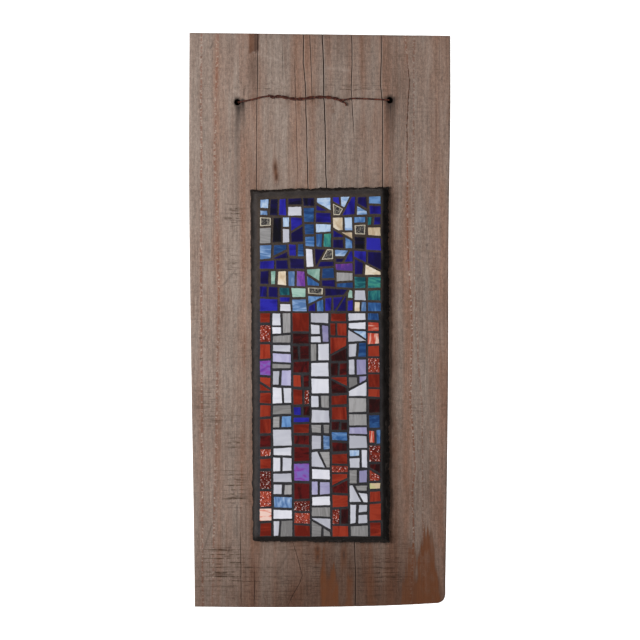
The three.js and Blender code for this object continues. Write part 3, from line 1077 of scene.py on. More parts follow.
# Stains that run down: the point they start from, their left and right edge at the foot, strength.
RUNS = [
    (107, -440, 92, 122, 1.0), (95, -452, 79, 97, 0.8), (4, -458, -0.5, 9, 1.0),
    (14, -474, 6, 22, 1.0), (51, -448, 46, 57, 0.35), (30, -484, 22, 36, 0.6),
    (67, -455, 60, 74, 0.25),
]
# Dirt that ran down from a hole: its hole, its shift across and down, half width, length, strength.
STREAKS = [
    (HOLES[0], 5.0, 0, 3.4, 18, 1.5), (HOLES[0], -0.5, 8, 2.8, 38, 1.25),
    (HOLES[1], 0.5, 0, 5.0, 26, 1.7),
]


def bell(value, width):
    """1 at the middle of a soft round mark, and a third at this distance from it."""
    return math.exp(-((value / width) ** 2))


def spot(x, z, middle_x, middle_z, wide, high, width):
    """The strength of a soft oval mark at a point."""
    return bell(math.hypot((x - middle_x) / wide, (z - middle_z) / high), width)


def blotch(x, z, size, seed):
    """A soft patchy strength between 0 and 1, with patches of this size in millimetres."""
    return clamp(0.5 + 1.2 * noise.fractal(Vector((x / size, seed, z / size)), 0.9, 2.0, 3))


def distance_to(x, z, x1, z1, x2, z2):
    """The distance from a point to a short straight scratch."""
    along = Vector((x2 - x1, z2 - z1))
    offset = Vector((x - x1, z - z1))
    return (offset - along * clamp(offset.dot(along) / along.length_squared)).length


def run_stain(x, z, start_x, start_z, left, right):
    """A stain that spreads down from a point. Its edges are drawn out along the grain."""
    share = (start_z - z + 12 * noise_at(x * 0.45, 8, z * 0.01)) / (start_z - board_low.z)
    spread = max(0.0, share) ** 0.6
    fringe = 4 * noise_at(x * 0.06, 5, z * 0.05) + 4 * noise_at(x * 0.5, 6, z * 0.02)
    low, high = start_x + (left - start_x) * spread, start_x + (right - start_x) * spread
    inside = min(x - low, high - x) + fringe * min(1.0, 0.2 + (high - low) / 24)
    patchy = 0.7 + 0.3 * blotch(x, z * 0.4, 5, 33)
    soaked = clamp(0.5 + inside / 2.6) * clamp(share * 14)
    return patchy * soaked, 4 * soaked * (1 - soaked)


def stains_at(x, z):
    """The strength of all run-down stains at a point, and of the dark lines round them."""
    stain = outline = 0.0
    for start_x, start_z, left, right, strength in RUNS:
        if z < start_z + 15:
            soaked, edge = run_stain(x, z, start_x, start_z, left, right)
            stain += strength * soaked
            outline = max(outline, strength * edge)
    return stain, outline


# %% Dirt, rust, damp and painted shade
STRIP_LEFT, STRIP_RIGHT, STRIP_FOOT = -70.5, -61.3, 37


def in_strip(x, z):
    """Whether a point lies in the strip at the head, which a batten kept from the weather."""
    return STRIP_LEFT < x < STRIP_RIGHT and z > STRIP_FOOT + 3 * noise_at(x * 0.6, 0, 0)


def dirt_at(x, z):
    """Dirt below and round the holes, by the strip, on knots, nail marks and scratches."""
    dirt = 0.0
    for hole, shift, drop, half, length, strength in STREAKS:
        below = hole.y - drop - z
        if below > -3:
            streaks = 0.95 + 0.4 * noise_at(x * 0.7, 2, z * 0.02)
            fade = math.exp(-max(0, below) / length)
            dirt += strength * bell(x - hole.x - shift, half) * fade * streaks
    for hole in HOLES:
        dirt += 0.5 * bell((Vector((x, z)) - hole).length, 4.2)
    dirt += 0.55 * bell(x + 66.5, 5) * bell(z - 18, 22)
    if in_strip(x, z):
        dirt += 0.12 + (0.6 if x > -66.2 else 0.0)
    dirt += sum(1.1 * spot(x, z, *knot, 0.75) for knot in KNOTS)
    dirt += sum(0.9 * spot(x, z, *mark, 1, 1, 1.2) for mark in NAIL_MARKS)
    for *ends, strength in SCRATCHES:
        dirt += strength * bell(distance_to(x, z, *ends), 0.8)
    return dirt


def rust_at(x, z):
    """Rust that the wire's twist and an old fixing left, and the warm tint of knots and streaks."""
    rust = 0.5 * bell(math.hypot(x - 13, (z + 20) * 0.8), 4.0) * blotch(x, z, 3, 5)
    rust += 0.3 * bell(z + 12, 6) * bell(x + 12, 45) * blotch(x, z, 5, 6)
    rust += 0.3 * bell(x - 76, 5) * bell(z + 350, 26) * blotch(x, z, 7, 15)
    rust += 0.16 * blotch(x, z * 0.12, 8, 44) ** 2
    if in_strip(x, z):
        rust += 0.6
    return rust + sum(0.8 * spot(x, z, *knot, 1.5) for knot in KNOTS)


def damp_and_shade_at(x, z):
    """Damp and painted shade: darkest at the foot, then right of the right hole and at the very
    head.
    """
    fall = (board_high.z - z) / board_size.z
    # Damp darkens the foot, deepened with painted shade there, as if the light fell off further
    # downwards.
    damp = 0.8 * fall**3.4 + fall**9 * bell(x - 32, 80) - 0.3 * fall**6 * bell(x - 66, 12)
    # Painted shadow beside the slate's right side; the other two terms darken a narrow band on the
    # left and the middle.
    damp += 0.28 * bell(x - 74, 11) + 0.16 * bell(x + 66, 5) + 0.08 * bell(x, 60)
    damp += 0.2 * bell(x - 80, 8) * bell(z + 5, 25)
    # Painted shade that darkens the head.
    damp += 0.3 * bell(z - 75, 60) * bell(x - 5, 60)
    return damp + 0.2 * (blotch(x, z, 60, 20) - 0.5)


# %% Pink bands, saw marks and scuffs
def pink_at(x, z):
    """The pinkish bands, which sway a little on their way up, and the warmer head."""
    sway = 2.5 * noise_at(x * 0.02, z * 0.008, 7)
    pink = sum(strength * bell(x + sway - middle, half) for middle, half, strength in PINK_BANDS)
    pink += 0.25 * bell(z - 70, 60) * bell(x - 5, 55)
    return pink + 0.5 * (blotch(x, z * 0.12, 14, 30) - 0.5)


def saw_at(x, z):
    """How strongly the saw marked the wood: faintly all over, and hard in its patches."""
    saw = 0.04 + 0.3 * blotch(x, z, 50, 14) ** 2
    for middle_x, middle_z, wide, high, strength in SAW_PATCHES:
        saw += strength * bell(x - middle_x, wide) * bell(z - middle_z, high)
    return saw


def scuff_at(x, z):
    """Two long scuffs near the head, and small ones all over."""
    scuff = 0.6 * bell(distance_to(x, z, -66, 37, -36, 26.5), 1.1)
    scuff += 0.6 * bell(distance_to(x, z, 7, 21.5, 29, 18.5), 1.4)
    return scuff + 0.25 * blotch(x, z * 0.1, 5, 50) ** 3


# %% Board grid
GRID_STEP, ROW_STEP, BACK_STEP = 1.45, 1.9, 6.0
WORN_EDGE, WORN_DROP, FIRST_COLUMN = 1.8, 1.1, 0.7
COLUMN_STOPS = (-515, 56, 10)  # the heights at which the lines' distances are compared
SPLIT_SPREAD = 1.25  # how much wider a split gapes at the face than its line
# The right lip is paler as it faces the lamp: wear with a painted highlight.
LIP_WEAR_AND_HIGHLIGHT = (0.07, 0.2)  # how pale a split's left and right lip are, for a millimetre of depth


def columns_between():
    """How many columns lie in each gap between the grain lines, for a gap at its widest."""
    widest = [0.0] * (len(GRAIN_LINES) + 1)
    for z in range(*COLUMN_STOPS):
        lines = [line_at(line, z) for line in GRAIN_LINES]
        stops = [follow(left_side, z), *lines, follow(right_side, z)]
        gaps = [b - a for a, b in zip(stops, stops[1:])]
        assert min(gaps) > 0.9, f"two grain lines meet at {z}"
        widest = [max(pair) for pair in zip(widest, gaps)]
    return [max(1, round(gap / GRID_STEP)) for gap in widest]


def row_of(z, counts):
    """Places of the columns across the board at height z, with depth, resin and pale lips of wear
    and painted highlight.
    """
    left, right = follow(left_side, z), follow(right_side, z)
    xs = [left, left + FIRST_COLUMN, left + WORN_EDGE]
    depths, resins, lip_wear_and_highlights = [0.0] * 3, [0.0] * 3, [0.0] * 3
    near_end = min(1.0, 0.2 + min(board_high.z - z, z - board_low.z) / 12)
    for line, count in zip([*GRAIN_LINES, None], counts):
        x = line_at(line, z) if line else right
        half = SPLIT_SPREAD * line["width"] / 2 if line else WORN_EDGE
        start, end = xs[-1], x - half
        xs += [start + (end - start) * (k + 1) / (count + 1) for k in range(count)] + [end]
        xs += [x, x + half] if line else [right - FIRST_COLUMN, right]
        depth = split_at(line, z) * near_end if line else 0.0
        resin, bleeds = (line["resin"], line["bleeds"]) if line else (0.0, 0.0)
        depths += [0.0] * (count + 1) + [depth, 0.0]
        resins += [0.0] * count + [bleeds, resin, bleeds]
        lip_wear_and_highlights += [0.0] * count + [LIP_WEAR_AND_HIGHLIGHT[0] * depth, 0.0, LIP_WEAR_AND_HIGHLIGHT[1] * depth]
    return xs, depths, resins, lip_wear_and_highlights


def relief(x, z):
    """The face's own relief: weathered grain stands up in ridges, and the saw left it furrowed."""
    ridge = noise_at(x * 0.33, 1, z * 0.007) + 0.5 * noise_at(x * 0.9, 2, z * 0.02)
    furrow = noise_at(x * 0.02, 3, z * 0.55) * blotch(x, z, 55, 14)
    hollow = noise_at(x * 0.012, 4, z * 0.008)
    return 0.13 * ridge + 0.13 * furrow + 0.3 * hollow


def inside_outline(x, z):
    """How far a point lies inside the board's outline."""
    sides = min(x - follow(left_side, z), follow(right_side, z) - x)
    return min(sides, z - follow(foot_side, x), follow(top_side, x) - z)


def worn_at(x, z, rim):
    """How far the rim's worn arris has gone back, at this distance from the rim."""
    wear = 0.8 + 0.6 * noise.noise(Vector((x, 0, z)) * 0.12)
    return wear * WORN_DROP * max(0.0, 1 - rim / WORN_EDGE) ** 1.5


def build_front(bm):
    """A grid on the board's outline, with its relief, its splits and its two attributes."""
    marks = bm.verts.layers.float_color.new("marks")
    grain_layer = bm.verts.layers.float_color.new("grain")
    counts = columns_between()
    columns = len(row_of(0, counts)[0])
    rows = round(board_size.z / ROW_STEP)
    bmesh.ops.create_grid(bm, x_segments=columns - 1, y_segments=rows, size=0.5)
    grid = sorted(bm.verts, key=lambda v: (round(v.co.y, 6), v.co.x))
    ends = [0, FIRST_COLUMN / board_size.z, WORN_EDGE / board_size.z]
    shares = ends + [ends[2] + (1 - 2 * ends[2]) * i / (rows - 4) for i in range(1, rows - 4)]
    shares += [1 - end for end in reversed(ends)]
    for i, share in enumerate(shares):
        level = board_low.z + board_size.z * share
        row = grid[i * columns : (i + 1) * columns]
        for vert, x, depth, resin, pale in zip(row, *row_of(level, counts)):
            foot, top = follow(foot_side, x), follow(top_side, x)
            z = foot + (top - foot) * share
            rim = min(x - follow(left_side, level), follow(right_side, level) - x, z - foot, top - z)
            vert.co = Vector((x, FACE + depth + worn_at(x, z, rim) - relief(x, z), z))
            stain, outline = stains_at(x, z)
            rust = min(1.0, rust_at(x, z) + stain + 0.6 * min(1.0, depth))
            dirt = dirt_at(x, z) + 0.3 * outline
            # Blue is painted shade in a split, as strong as the split is deep.
            vert[marks] = (dirt, rust, min(1.0, depth), max(0.0, damp_and_shade_at(x, z)))
            # Alpha is scuffs, plus wear and a painted highlight on the lips of splits.
            vert[grain_layer] = (pink_at(x, z), resin, saw_at(x, z), pale + scuff_at(x, z))
    print("front grid:", columns, "columns,", rows + 1, "rows")


# %% Drill the holes and close the board
HOLE_CHAMFER = 0.3
# How far back each ring of a bore lies, as a share, and how much painted shade darkens it inside.
BORE_RINGS = ((0.2, 0.9), (0.5, 0.95), (0.94, 0.7), (1.0, 0.0))
SIDE_RINGS, SIDE_WANDER = (0.3, 0.4, 0.9, 1.0), 0.22


def drill(bm, hole):
    """Opens a round hole in the front grid and returns its rim."""
    marks = bm.verts.layers.float_color["marks"]
    offsets = {v: Vector((v.co.x, v.co.z)) - hole for v in bm.verts}
    gone = [v for v, offset in offsets.items() if offset.length < HOLE_RADIUS - 0.15]
    bmesh.ops.delete(bm, geom=gone, context="VERTS")
    open_edges = [e for e in bm.edges if e.is_boundary]
    rim = [e for e in open_edges if all(offsets[v].length < 3 * HOLE_RADIUS for v in e.verts)]
    for vert in {v for e in rim for v in e.verts}:
        offset = offsets[vert].normalized() * HOLE_RADIUS
        vert.co = Vector((hole.x + offset.x, FACE + HOLE_CHAMFER, hole.y + offset.y))
        # The rim of a hole is dirty, and half darkened with painted shade.
        vert[marks] = (1.0, 0.0, 0.5, vert[marks][3])
    return rim


def board_layers(bm):
    return bm.verts.layers.float_color["marks"], bm.verts.layers.float_color["grain"]


def sink_marked(bm, rim, share, wander, painted_recess_shade):
    """Sinks a rim towards the back, with this much painted shade at its new edge."""
    marks, grain_layer = board_layers(bm)
    sunk = sink_rim(bm, rim, board_high.y, share, wander)
    for vert in {v for e in sunk for v in e.verts}:
        dirt, rust, _, damp = vert[marks]
        vert[marks] = (dirt * 0.7, rust * 0.8, painted_recess_shade, damp * 0.8)
        pink, resin, saw, scuff = vert[grain_layer]
        vert[grain_layer] = (pink, resin * 0.6, 0.35 + 0.5 * (saw - 0.35), scuff * 0.5)
    return sunk


def back_dirt_at(x, z):
    """Dirt on the back: faint clouds, and a streak below each hole."""
    dirt = 0.18 * blotch(x, z * 0.4, 40, 70) ** 2
    if z < HOLES[1].y:
        dirt += 0.4 * max(bell(x - h.x, 5) * math.exp(-max(0, h.y - z) / 45) for h in HOLES)
    return dirt


def lay_back(bm, rim):
    """Closes the back inside its rims with a grid of its own, which carries its own marks."""
    marks, grain_layer = board_layers(bm)
    known = list(dict.fromkeys(v for e in rim for v in e.verts))
    index = {v: i for i, v in enumerate(known)}
    points = [Vector((v.co.x, v.co.z)) for v in known]
    edges = [tuple(index[v] for v in e.verts) for e in rim]
    columns, rows = (int(side / BACK_STEP) for side in (board_size.x, board_size.z))
    for i in range(1, columns):
        for j in range(1, rows):
            shift = 0.4 * noise_at(i * 0.7, j * 0.7, 0)
            x = board_low.x + BACK_STEP * (i + shift)
            z = board_low.z + BACK_STEP * (j - shift)
            to_hole = min((Vector((x, z)) - hole).length for hole in HOLES)
            if inside_outline(x, z) > 2 and to_hole > 5:
                points.append(Vector((x, z)))
    found, _, faces, origins, _, _ = delaunay_2d_cdt(points, edges, [], 2, 1e-4)
    verts = []
    for place, origin in zip(found, origins):
        if origin and origin[0] < len(known):
            verts.append(known[origin[0]])
            continue
        x, z = place
        vert = bm.verts.new((x, board_high.y + 0.35 * relief(x, z), z))
        rust = 0.35 * blotch(x, z * 0.2, 30, 71) ** 2
        saw, scuff = 0.1 + 0.5 * blotch(x, z, 70, 72), 0.3 * blotch(x, z * 0.1, 6, 73)
        vert[marks] = (back_dirt_at(x, z), rust, 0.0, 0.25 + damp_and_shade_at(-x, z))
        vert[grain_layer] = (pink_at(-x, z), 0.0, saw, scuff)
        verts.append(vert)
    for face in faces:
        corners = [verts[i] for i in face]
        middle = sum((Vector((v.co.x, v.co.z)) for v in corners), Vector((0, 0))) / len(corners)
        if min((middle - hole).length for hole in HOLES) > HOLE_RADIUS:
            bm.faces.new(corners)


def build_board():
    bm = bmesh.new()
    build_front(bm)
    outer = [e for e in bm.edges if e.is_boundary]
    bores = [drill(bm, hole) for hole in HOLES]
    backs = []
    for bore in bores:
        for share, painted_recess_shade in BORE_RINGS:
            bore = sink_marked(bm, bore, share, 0.0, painted_recess_shade)
        backs += bore
    for share in SIDE_RINGS:
        outer = sink_marked(bm, outer, share, SIDE_WANDER, 0.0)
    lay_back(bm, outer + backs)
    bmesh.ops.recalc_face_normals(bm, faces=bm.faces)
    for face in bm.faces:
        if abs(face.normal.z) > 0.8:
            face.material_index = 1  # end grain
        elif face.normal.y > 0.8:
            face.material_index = 2  # back
    return bm


# %% [markdown]
# Weathered wood is matt and shows its colours in long stripes. Three kinds of noise draw them:
# fibres about a millimetre wide that run up the board, a mottling of a few millimetres, and short
# dark dashes across it where the saw's teeth bit. The growth rings are rings about the middle of
# the tree, which lay behind the board, so the same rings show as lines on the face and as arcs on
# the two ends, as they do in a real flat-sawn plank.

# %% Wood finish
def wood_noise(tree, place, wide, deep, high, detail=3.0):
    """Noise whose features are this many millimetres across, into and along the board."""
    scale = (per_mm(wide), per_mm(deep), per_mm(high))
    vector = add(tree, "ShaderNodeMapping", {"Vector": place, "Scale": scale}).outputs[0]
    links = {"Vector": vector, "Scale": 1.0, "Detail": detail}
    return add(tree, "ShaderNodeTexNoise", links).outputs[0]


TREE_MIDDLE, RING_WIDTH, SAW_FEED = (-12, 70), 3.4, 4.6


def growth_rings(tree, place):
    """Growth rings round the middle of the tree, which lay behind the board."""
    pith = (-TREE_MIDDLE[0] * MM, -TREE_MIDDLE[1] * MM, 0.0)
    links = {"Vector": place, "Location": pith, "Scale": (1.0, 1.0, 0.0)}
    across = add(tree, "ShaderNodeMapping", links).outputs[0]
    warp = wood_noise(tree, place, 30, 30, 500, 2.0)
    radius = add(tree, "ShaderNodeVectorMath", {0: across}, operation="LENGTH").outputs["Value"]
    links = {0: warp, 1: 9 * MM, 2: radius}
    warped = add(tree, "ShaderNodeMath", links, operation="MULTIPLY_ADD").outputs[0]
    links = {0: warped, 1: per_mm(RING_WIDTH)}
    turns = add(tree, "ShaderNodeMath", links, operation="MULTIPLY").outputs[0]
    return add(tree, "ShaderNodeMath", {0: turns}, operation="FRACT").outputs[0]


def saw_strokes(tree, place, saw):
    """Where the saw bit: soft dashes, and crisp strokes at an even feed where it bit hardest."""
    teeth = wood_noise(tree, place, 16, 16, 1.5, 3.0)
    dashes = add(tree, "ShaderNodeMapRange", {0: teeth, 1: 0.54, 2: 0.68, 3: 0.0, 4: 0.6}).outputs[0]
    height = add(tree, "ShaderNodeSeparateXYZ", {0: place}).outputs["Z"]
    drift = wood_noise(tree, place, 60, 60, 11, 1.0)
    links = {0: height, 1: per_mm(SAW_FEED), 2: drift}
    feeds = add(tree, "ShaderNodeMath", links, operation="MULTIPLY_ADD").outputs[0]
    wave = add(tree, "ShaderNodeMath", {0: feeds, 1: 0.5}, operation="PINGPONG").outputs[0]
    stroke = add(tree, "ShaderNodeMapRange", {0: wave, 1: 0.36, 2: 0.46, 3: 0.0, 4: 1.0}).outputs[0]
    torn = wood_noise(tree, place, 5, 5, 2.5, 3.0)
    kept = add(tree, "ShaderNodeMapRange", {0: torn, 1: 0.42, 2: 0.54, 3: 0.0, 4: 1.0}).outputs[0]
    hard = add(tree, "ShaderNodeMapRange", {0: saw, 1: 0.3, 2: 1.1, 3: 0.0, 4: 1.0}).outputs[0]
    torn_stroke = add(tree, "ShaderNodeMath", {0: stroke, 1: kept}, operation="MULTIPLY").outputs[0]
    strokes = add(tree, "ShaderNodeMath", {0: torn_stroke, 1: hard}, operation="MULTIPLY").outputs[0]
    links = {0: dashes, 1: saw, 2: strokes}
    return add(tree, "ShaderNodeMath", links, operation="MULTIPLY_ADD", use_clamp=True).outputs[0]


# The shades of the grey surface: each one's width, depth and length, its detail, dark and light.
WOOD_SHADES = [
    ((0.8, 0.8, 5.0), 2.0, 0.84, 1.14),
    ((2.8, 2.8, 3.6), 4.0, 0.83, 1.17),
    ((0.9, 0.9, 1.1), 2.0, 0.84, 1.16),
]


def weathered_wood(name, ring_strength, shade):
    """Rough-sawn softwood, gone grey. Its end grain shows the rings more and is darker."""
    finish, tree, shader = new_finish(name)
    place = add(tree, "ShaderNodeTexCoord").outputs["Object"]
    marks = add(tree, "ShaderNodeAttribute", attribute_name="marks")
    marked = add(tree, "ShaderNodeSeparateColor", {0: marks.outputs["Color"]})
    dirt, rust, inside = marked.outputs[:3]
    grained = add(tree, "ShaderNodeAttribute", attribute_name="grain")
    split = add(tree, "ShaderNodeSeparateColor", {0: grained.outputs["Color"]})
    pink, resin, saw = split.outputs[:3]

    bands = wood_noise(tree, place, 11, 16, 400)
    band = add(tree, "ShaderNodeMapRange", {0: bands, 1: 0.25, 2: 0.75, 3: -0.4, 4: 0.4}).outputs[0]
    links = {0: pink, 1: band}
    pinkness = add(tree, "ShaderNodeMath", links, operation="ADD", use_clamp=True).outputs[0]
    colour = lay_over(tree, linear("#9c8b80"), (pinkness, 1.0, "#9b7b6a"))
    rings = growth_rings(tree, place)
    links = {0: rings, 1: 0.55, 2: 1.0, 3: 0.0, 4: ring_strength}
    ring = add(tree, "ShaderNodeMapRange", links).outputs[0]
    colour = lay_over(tree, colour, (ring, 1.0, "#7a5644"))
    fibres = wood_noise(tree, place, 1.1, 1.6, 34)
    colour = shaded(tree, colour, fibres, 0.3, 0.7, 0.86, 1.13)
    for size, detail, dark, light in WOOD_SHADES:
        shades = wood_noise(tree, place, *size, detail)
        colour = shaded(tree, colour, shades, 0.3, 0.7, dark, light)

    beads = wood_noise(tree, place, 2.2, 2.2, 1.9, 1.0)
    dashes = add(tree, "ShaderNodeMapRange", {0: beads, 1: 0.4, 2: 0.56, 3: 0.1, 4: 1.1}).outputs[0]
    flakes = add(tree, "ShaderNodeMapRange", {0: beads, 1: 0.42, 2: 0.32, 3: 0.0, 4: 1.1}).outputs[0]
    sawn = saw_strokes(tree, place, saw)
    pitch, dried_pitch = (resin, dashes, "#875744"), (resin, flakes, "#c8b4a6")
    # The grain's alpha lays pale scuffs, and a painted highlight on the lips of splits.
    scuffed = (grained.outputs["Alpha"], 0.6, "#c3b0a4")
    colour = lay_over(tree, colour, pitch, dried_pitch, (sawn, 1.0, "#49382a"), scuffed)

    # The marks' alpha darkens the wood with damp and painted shade together.
    soaked = add(tree, "ShaderNodeMapRange", {0: marks.outputs["Alpha"], 1: 0.0, 2: 1.3}).outputs[0]
    links = {0: soaked, 6: colour, 7: linear("#a19087")}
    colour = add(tree, "ShaderNodeMix", links, data_type="RGBA", blend_type="MULTIPLY").outputs[2]
    colour = add(tree, "ShaderNodeHueSaturation", {"Value": shade, "Color": colour}).outputs[0]
    rusty, dirty = (rust, 0.92, "#6c3f24"), (dirt, 0.7, "#3a302c")
    # inside is painted shade: it darkens splits, bores and the discs in the holes.
    colour = lay_over(tree, colour, rusty, dirty, (inside, 1.0, "#1b110b"))

    links = {0: sawn, 1: -0.7, 2: fibres}
    height = add(tree, "ShaderNodeMath", links, operation="MULTIPLY_ADD").outputs[0]
    feed_shader(tree, shader, colour, height, 0.5, 0.5, Roughness=0.88, Specular_IOR_Level=0.25)
    return finish


PLUG_DEPTH, PLUG_THICKNESS = 13, 5


def build_plugs():
    """Dark discs half-way down both holes, round the wire, as painted shade down the bores."""
    bm = bmesh.new()
    marks = bm.verts.layers.float_color.new("marks")
    radius = HOLE_RADIUS + 0.1
    for hole in HOLES:
        upright = Matrix.Rotation(math.radians(90), 4, "X")
        matrix = Matrix.Translation((hole.x, FACE + PLUG_DEPTH, hole.y)) @ upright
        disc = bmesh.ops.create_cone(
            bm, cap_ends=True, segments=24, radius1=radius, radius2=radius,
            depth=PLUG_THICKNESS, matrix=matrix,
        )
        for vert in disc["verts"]:
            vert.co.y += 0.8 * noise.noise(vert.co)
            # The discs take dirt, painted shade and darkening at full strength.
            vert[marks] = (1.0, 0.0, 0.9, 1.0)
    return bm


wood_finishes = [
    weathered_wood("weathered softwood", 0.16, 1.0),
    weathered_wood("softwood end grain", 0.6, 0.8),
    weathered_wood("softwood back", 0.2, 0.85),
]
board = add_piece(
    "sawn_board", build_board(), wood_finishes, ["board"], sharp=40
)
say_size(board)
say_size(add_piece("hole_shade_plugs", build_plugs(), wood_finishes[:1], []))

# %% [markdown]
# ## The wire
#
# One length of soft iron wire, left to rust, holds the panel up. It starts in the twist, goes
# through the right hole, over the nail behind the board, back through the left hole and into the
# twist again. Its route is the construction model's, point by point. A curve with a round bevel
# makes the wire, and its surface is then pitted.

# %% Wire route
WIRE_RADIUS = 0.8
RIM_TURN = 2.2
STRAND_OFFSET = WIRE_RADIUS + 0.075
TWIST_TURNS = 4.5
TWIST_DEPTH = -27.2
BACK_RUN = 1.6
TWIST_LINE = [
    (-48, -8.2), (-40, -7.7), (-30, -9.6), (-20, -10.3), (-8, -8.8), (4, -8.3), (14, -9.4),
    (22, -12),
]


def smoothed(points, parts):
    """A Catmull-Rom curve through points, with this many parts between each two."""
    ends = [points[0] * 2 - points[1], *points, points[-1] * 2 - points[-2]]
    run = []
    for a, b, c, d in zip(ends, ends[1:], ends[2:], ends[3:]):
        for i in range(parts):
            t = i / parts
            bend = (2 * a - 5 * b + 4 * c - d) * t * t + (3 * b - a - 3 * c + d) * t**3
            run.append((2 * b + (c - a) * t + bend) / 2)
    return run + [points[-1]]


def round_rim(hole, side, to_back):
    """The way round one rim of a hole, from inside the bore to a face of the board."""
    face, outward = (board_high.y, 1) if to_back else (board_low.y, -1)
    turn = []
    for degrees in (0, 30, 60, 90):
        angle = math.radians(degrees)
        x = hole.x + side * (HOLE_RADIUS - RIM_TURN * math.cos(angle))
        turn.append(Vector((x, face + outward * RIM_TURN * math.sin(angle), hole.y)))
    return turn


def strand(phase):
    """One strand of the twist, from left to right. phase is 0 or 1 half turn."""
    middle = smoothed([Vector((x, TWIST_DEPTH, z)) for x, z in TWIST_LINE], 8)
    points = []
    for i, at in enumerate(middle):
        t = i / (len(middle) - 1)
        along = (middle[min(i + 1, len(middle) - 1)] - middle[max(i - 1, 0)]).normalized()
        up = Vector((-along.z, 0, along.x))
        angle = math.pi * (2 * TWIST_TURNS * t + phase)
        points.append(at + (up * math.cos(angle) + Vector((0, math.sin(angle), 0))) * STRAND_OFFSET)
    return points


left_hole, right_hole = HOLES
wire_route = smoothed(
    [Vector((-51.5, TWIST_DEPTH - 1.2, -6)), *strand(1)]
    + [Vector(p) for p in ((27, -27.6, -10.6), (33, -27.4, -9.6), (50, -27.1, -10.2))]
    + round_rim(right_hole, -1, False)[::-1]
    + round_rim(right_hole, -1, True)
    + [Vector(p) for p in ((52, BACK_RUN, -8), (26, BACK_RUN, -3.4), (5, BACK_RUN, -0.3))]
    + [Vector(p) for p in ((-5, BACK_RUN, -0.3), (-30, BACK_RUN, -4), (-62, BACK_RUN, -10))]
    + round_rim(left_hole, 1, True)[::-1]
    + round_rim(left_hole, 1, False)
    + [Vector((-68, -27.3, -10.8)), Vector((-57, -27.2, -8)), *strand(0)]
    + [Vector((25.4, TWIST_DEPTH - 0.3, -14.6)), Vector((26.2, TWIST_DEPTH + 0.1, -17))],
    3,
)
wire_length = sum((b - a).length for a, b in zip(wire_route, wire_route[1:]))
print("the wire is", round(wire_length), "mm long")


# %% Wire
def rusty_iron():
    """Soft iron wire under brown rust, which is matt, with darker and more orange patches."""
    finish, tree, shader = new_finish("rusty iron wire")
    place = add(tree, "ShaderNodeTexCoord").outputs["Object"]
    links = {"Vector": place, "Scale": per_mm(2.2), "Detail": 5.0}
    patches = add(tree, "ShaderNodeTexNoise", links).outputs[0]
    stops = [(0.32, "#220e09"), (0.5, "#4e2418"), (0.68, "#743a26")]
    colour = add(tree, "ShaderNodeValToRGB", {"Fac": patches}, stops=stops).outputs[0]
    links = {"Vector": place, "Scale": per_mm(0.5), "Detail": 3.0}
    pits = add(tree, "ShaderNodeTexNoise", links).outputs[0]
    feed_shader(tree, shader, colour, pits, 0.6, 0.15, Metallic=0.25, Roughness=0.72)
    return finish


PIT_DEPTH = 0.05


def build_wire():
    curve = bpy.data.curves.new("wire_route", "CURVE")
    curve.dimensions = "3D"
    curve.bevel_depth = WIRE_RADIUS
    curve.bevel_resolution = 3
    curve.use_fill_caps = True
    spline = curve.splines.new("POLY")
    spline.points.add(len(wire_route) - 1)
    for point, place in zip(spline.points, wire_route):
        point.co = (*place, 1)
    drawn = bpy.data.objects.new("wire_route", curve)
    bm = bmesh.new()
    bm.from_mesh(bpy.data.meshes.new_from_object(drawn))
    bpy.data.objects.remove(drawn)
    bmesh.ops.remove_doubles(bm, verts=bm.verts, dist=0.001)
    bmesh.ops.recalc_face_normals(bm, faces=bm.faces)
    bm.normal_update()
    for vert in bm.verts:
        vert.co += vert.normal * PIT_DEPTH * noise.noise(vert.co * 0.8)
    return bm


wire = add_piece(
    "twisted_wire", build_wire(), [rusty_iron()], ["hanging_wire"], sharp=60
)
say_size(wire)

# %% [markdown]
# ## Floor, backdrop and light
#
# The panel hangs in the air before a plain pale sweep, a floor that curves up into a backdrop. It
# stands far enough behind that the panel casts no shadow on it from the front. One large soft lamp
# stands close on the left and a little above, so the light falls off to the right and downwards,
# and the slopes of the slate that face away from it go dark. The room is dim, so that the glass
# has little to mirror and keeps its deep colours.

# %% Floor and backdrop
FLOOR_BELOW, BACKDROP_HEIGHT = 800, 4000
SWEEP_BACK, SWEEP_FRONT, SWEEP_WIDTH = 3000, 1300, 9000
SWEEP_RADIUS, SWEEP_STEPS = 700, 16


WHITE = "#ffffff"


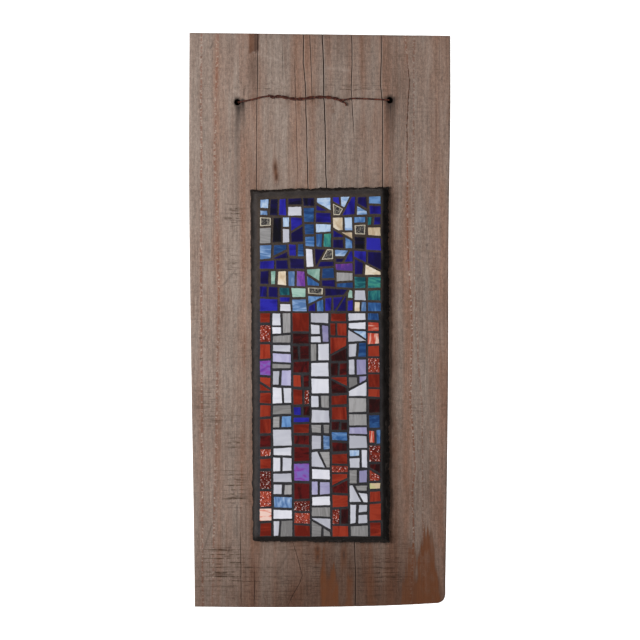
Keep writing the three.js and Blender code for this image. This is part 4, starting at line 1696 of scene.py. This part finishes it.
def pale_paper():
    """White paper, lit from behind where it hangs, so that it stays plain white."""
    finish, tree, shader = new_finish("pale backdrop paper")
    place = add(tree, "ShaderNodeTexCoord").outputs["Object"]
    depth = add(tree, "ShaderNodeSeparateXYZ", {0: place}).outputs["Y"]
    glow = add(tree, "ShaderNodeMapRange", {0: depth, 1: -0.5, 2: 1.5, 3: 0.1, 4: 0.9}).outputs[0]
    tree.links.new(glow, shader.inputs["Emission Strength"])
    shader.inputs["Emission Color"].default_value = linear(WHITE)
    shader.inputs["Base Color"].default_value = linear("#f4f4f2")
    shader.inputs["Roughness"].default_value = 0.9
    return finish


def build_sweep():
    floor_z = board_low.z - FLOOR_BELOW
    bm = bmesh.new()
    corner_a = bm.verts.new((-SWEEP_WIDTH / 2, -SWEEP_FRONT, floor_z))
    corner_b = bm.verts.new((SWEEP_WIDTH / 2, -SWEEP_FRONT, floor_z))
    edge = [bm.edges.new((corner_a, corner_b))]
    moves = [Vector((0, SWEEP_FRONT + SWEEP_BACK - SWEEP_RADIUS, 0))]
    for i in range(SWEEP_STEPS):
        a, b = (math.radians(90 * k / SWEEP_STEPS) for k in (i, i + 1))
        move = Vector((0, math.sin(b) - math.sin(a), math.cos(a) - math.cos(b)))
        moves.append(SWEEP_RADIUS * move)
    moves.append(Vector((0, 0, BACKDROP_HEIGHT)))
    for move in moves:
        points, edge = pull_out(bm, edge)
        bmesh.ops.translate(bm, vec=move, verts=points)
    return bm


sweep = make_object("floor_and_backdrop", build_sweep(), [pale_paper()])
print("the backdrop stands", SWEEP_BACK, "mm behind the panel")


# %% Lights
def add_lamp(name, place, size, power):
    """A square soft lamp, in millimetres from the panel's middle, aimed at the middle."""
    light = bpy.data.lights.new(name, "AREA")
    light.size = size * MM
    light.energy = power
    lamp = bpy.data.objects.new(name, light)
    lamp.location = (centre + Vector(place)) * MM
    lamp.rotation_euler = (-Vector(place)).to_track_quat("-Z", "Y").to_euler()
    lamp.visible_camera = False
    bpy.context.scene.collection.objects.link(lamp)


add_lamp("key_lamp", (-700, -920, 100), 600, 11.3)
add_lamp("back_lamp", (900, 1500, 900), 1200, 13)

# %% Room
world = bpy.data.worlds.new("dim_room")
world.use_nodes = True
background = world.node_tree.nodes["Background"]
seen = add(world.node_tree, "ShaderNodeLightPath").outputs["Is Camera Ray"]
strength = add(world.node_tree, "ShaderNodeMapRange", {0: seen, 3: 0.16, 4: 1.0}).outputs[0]
world.node_tree.links.new(strength, background.inputs["Strength"])
background.inputs["Color"].default_value = linear(WHITE)
bpy.context.scene.world = world
bpy.context.scene.view_settings.view_transform = "Standard"
